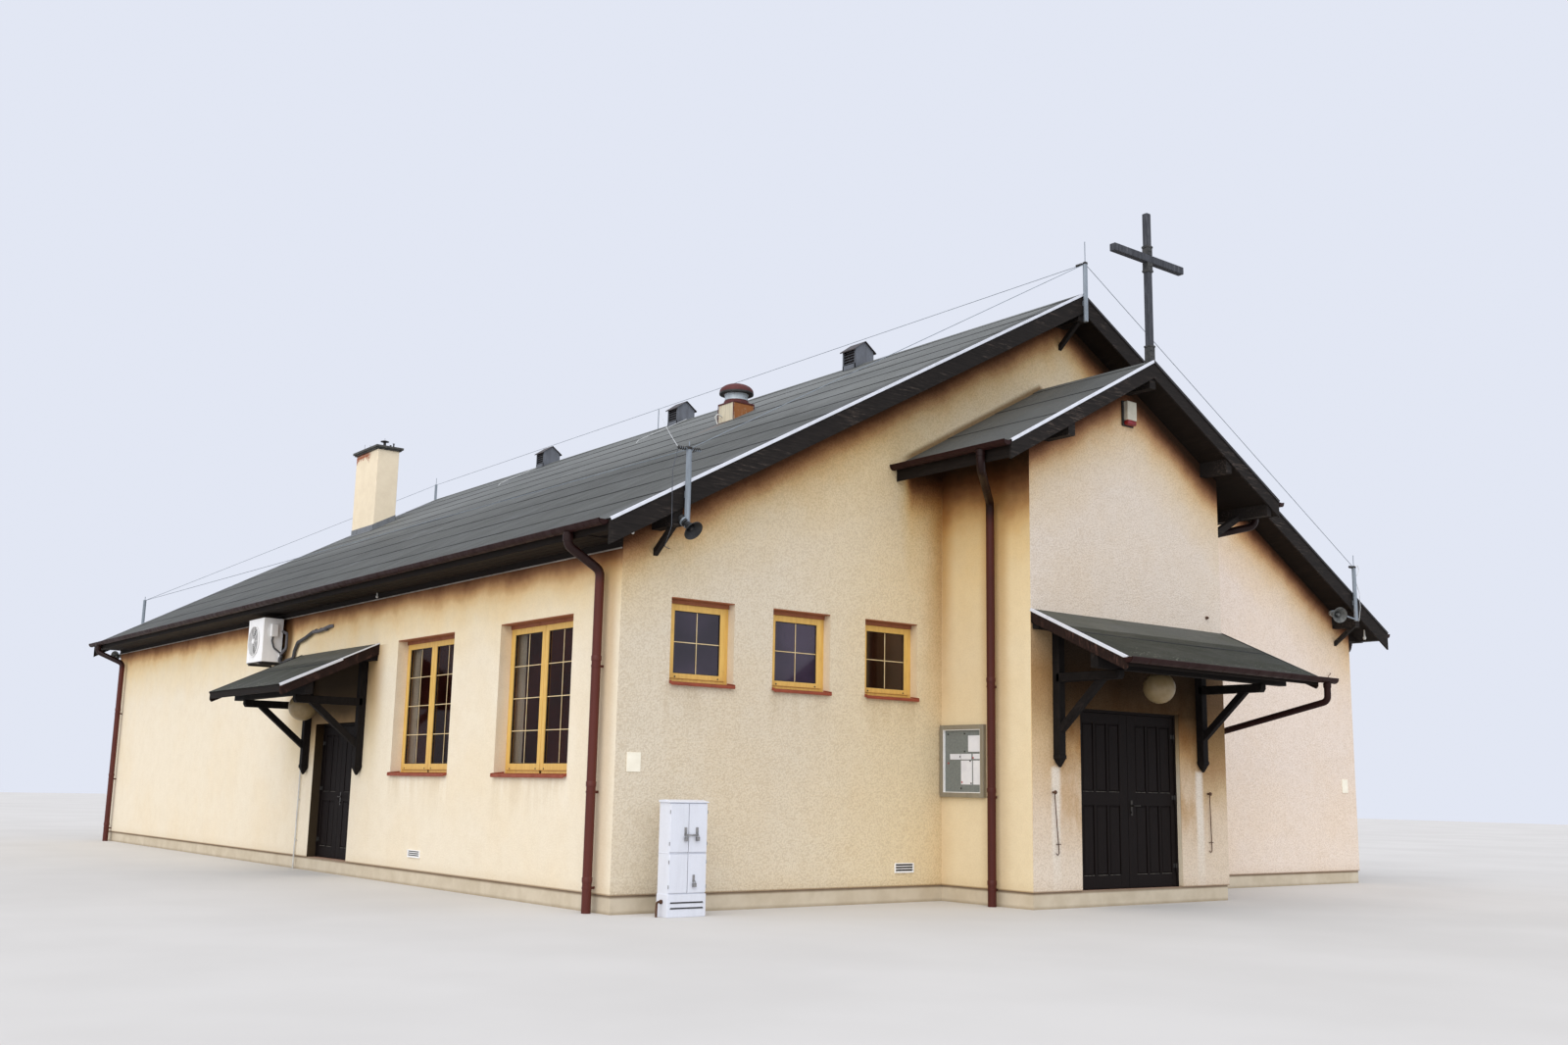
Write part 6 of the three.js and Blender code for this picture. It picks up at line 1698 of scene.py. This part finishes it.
def conductor_wires():
    """Sagging wires that the plain solid leaves out, with insulators and clamps on the masts."""
    wires, down = Shape(), Shape()

    def sag(start, end, drop, steps=24):
        start, end = Vector(start), Vector(end)
        return [start.lerp(end, t) - Vector((0, 0, 4 * drop * t * (1 - t)))
                for t in (i / steps for i in range(steps + 1))]

    stay, left, right = (0, 11.130, 9.320), (-7.300, MAST_Y, 5.330), (7.074, MAST_Y, 5.450)
    wires.tube(sag(stay, left, 0.05), 0.0035, 6)
    down.tube(bent([(-7.305, MAST_Y, 5.320), (-7.324, MAST_Y, 5.231), (-7.371, MAST_Y, 5.037),
                    (-7.357, MAST_Y, 4.389), (-7.300, -0.300, 4.180), (-7.040, -0.015, 4.215),
                    (-7.030, -0.002, 4.220)], 0.08), 0.0045, 8)
    down.finish("mast_down_wire", WIRE_DARK, "galvanised")
    wires.tube(bent([right, (7.20, MAST_Y, 5.52), (7.24, MAST_Y, 5.42), (7.15, MAST_Y, 5.30),
                     (7.10, MAST_Y, 5.32)], 0.05), 0.005, 8)
    wires.tube(bent([(7.10, MAST_Y, 5.25), (7.22, MAST_Y, 5.02), (7.23, MAST_Y, 4.75), (7.20, -0.50, 4.52)],
                    0.10), 0.005, 8)
    for y, reach in ((10.0, 1.35), (16.0, 1.25)):
        wires.tube([(-0.05, y, hall_top(0.05) + 0.03), (-reach, y - 0.25, hall_top(reach) + 0.05),
                    (-reach - 0.06, y - 0.26, hall_top(reach + 0.06) + 0.012)], 0.007, 8)
    wires.finish("conductor_wires", WIRE_METAL, "galvanised")
    beads = Shape()
    for start, end in (((-7.310, MAST_Y, 5.330), (-7.190, MAST_Y, 5.330)),
                       ((-7.100, MAST_Y, 5.330), (-6.990, MAST_Y, 5.345)),
                       ((6.93, MAST_Y, 5.450), (7.025, MAST_Y, 5.450)),
                       ((-0.02, MAST_Y + 0.04, 9.348), (-0.02, -0.36, 9.348))):
        start, end = Vector(start), Vector(end)
        along = end - start
        span = along.length
        for k in range(4):
            h = span * (k + 0.5) / 4
            beads.lathe([(0, h - 0.013), (0.014, h - 0.012), (0.024, h), (0.014, h + 0.012),
                         (0, h + 0.013)], start, along, 12)
    for x, top in ((-7.146, 5.342), (0.0, 9.360), (7.074, 5.462)):
        beads.lathe([(0, -0.020), (0.039, -0.020), (0.039, 0.006), (0.018, 0.020), (0, 0.022)],
                    (x, MAST_Y, top), sides=18)
    beads.finish("conductor_insulators", DARK_METAL, "galvanised")


rainwater()
eaves()
for i, name in enumerate(SMALL_WINDOWS):
    window(name, SMALL, on_front(local_box(name)[0].x), GLASS_DARK if i == 2 else GLASS_FRONT)
for name in LEFT_WINDOWS:
    window(name, TALL, on_left(local_box(name)[1].y), GLASS_SIDE)
    curtain(f"{name}_curtain")
for name in RIGHT_WINDOWS:
    window(name, TALL, on_right(local_box(name)[0].y), GLASS_SIDE)
doors()
canopy("main", CANOPIES["main"], on_front(0.0, PORCH_FRONT), MAIN_CANOPY_FELT)
canopy("side", CANOPIES["side"], on_left(0.0), SIDE_CANOPY_FELT)
chimney()
cross()
for i, start in enumerate((4.520, 10.100, 15.670)):
    ridge_vent(i + 1, start)
roof_fan()
ac_unit()
meter_cabinet()
noticeboard()
small_fittings()
conductor_wires()


# Light and floor
def studio():
    world = bpy.data.worlds.new("studio")
    world.use_nodes = True
    back = world.node_tree.nodes["Background"]
    back.inputs["Color"].default_value = (0.80, 0.84, 0.95, 1.0)
    back.inputs["Strength"].default_value = 0.95
    bpy.context.scene.world = world
    bpy.context.scene.view_settings.view_transform = "Standard"
    for name, energy, size, rotation, tint in (
            ("key", 1.7, 1.2, (math.radians(48), 0.0, math.radians(-62)), (1.0, 0.97, 0.92)),
            ("fill", 0.5, 2.0, (math.radians(60), 0.0, math.radians(25)), (0.92, 0.95, 1.0))):
        sun = bpy.data.lights.new(name, "SUN")
        sun.energy = energy
        sun.angle = size
        sun.color = tint
        lamp = bpy.data.objects.new(name, sun)
        lamp.rotation_euler = rotation
        bpy.context.scene.collection.objects.link(lamp)
    floor = Shape()
    floor.box((-90, -90, -0.2), (90, 110, 0.0))
    m = Material("studio_floor", (0.60, 0.58, 0.55), roughness=0.9, specular=0.1)
    m.lay(m.smooth(m.noise(0.3), 0.3, 0.7), (0.64, 0.62, 0.59))
    m.put(m.shader.inputs["Base Color"], m.base)
    ground = floor.finish("studio_ground", m.data, "render")


studio()
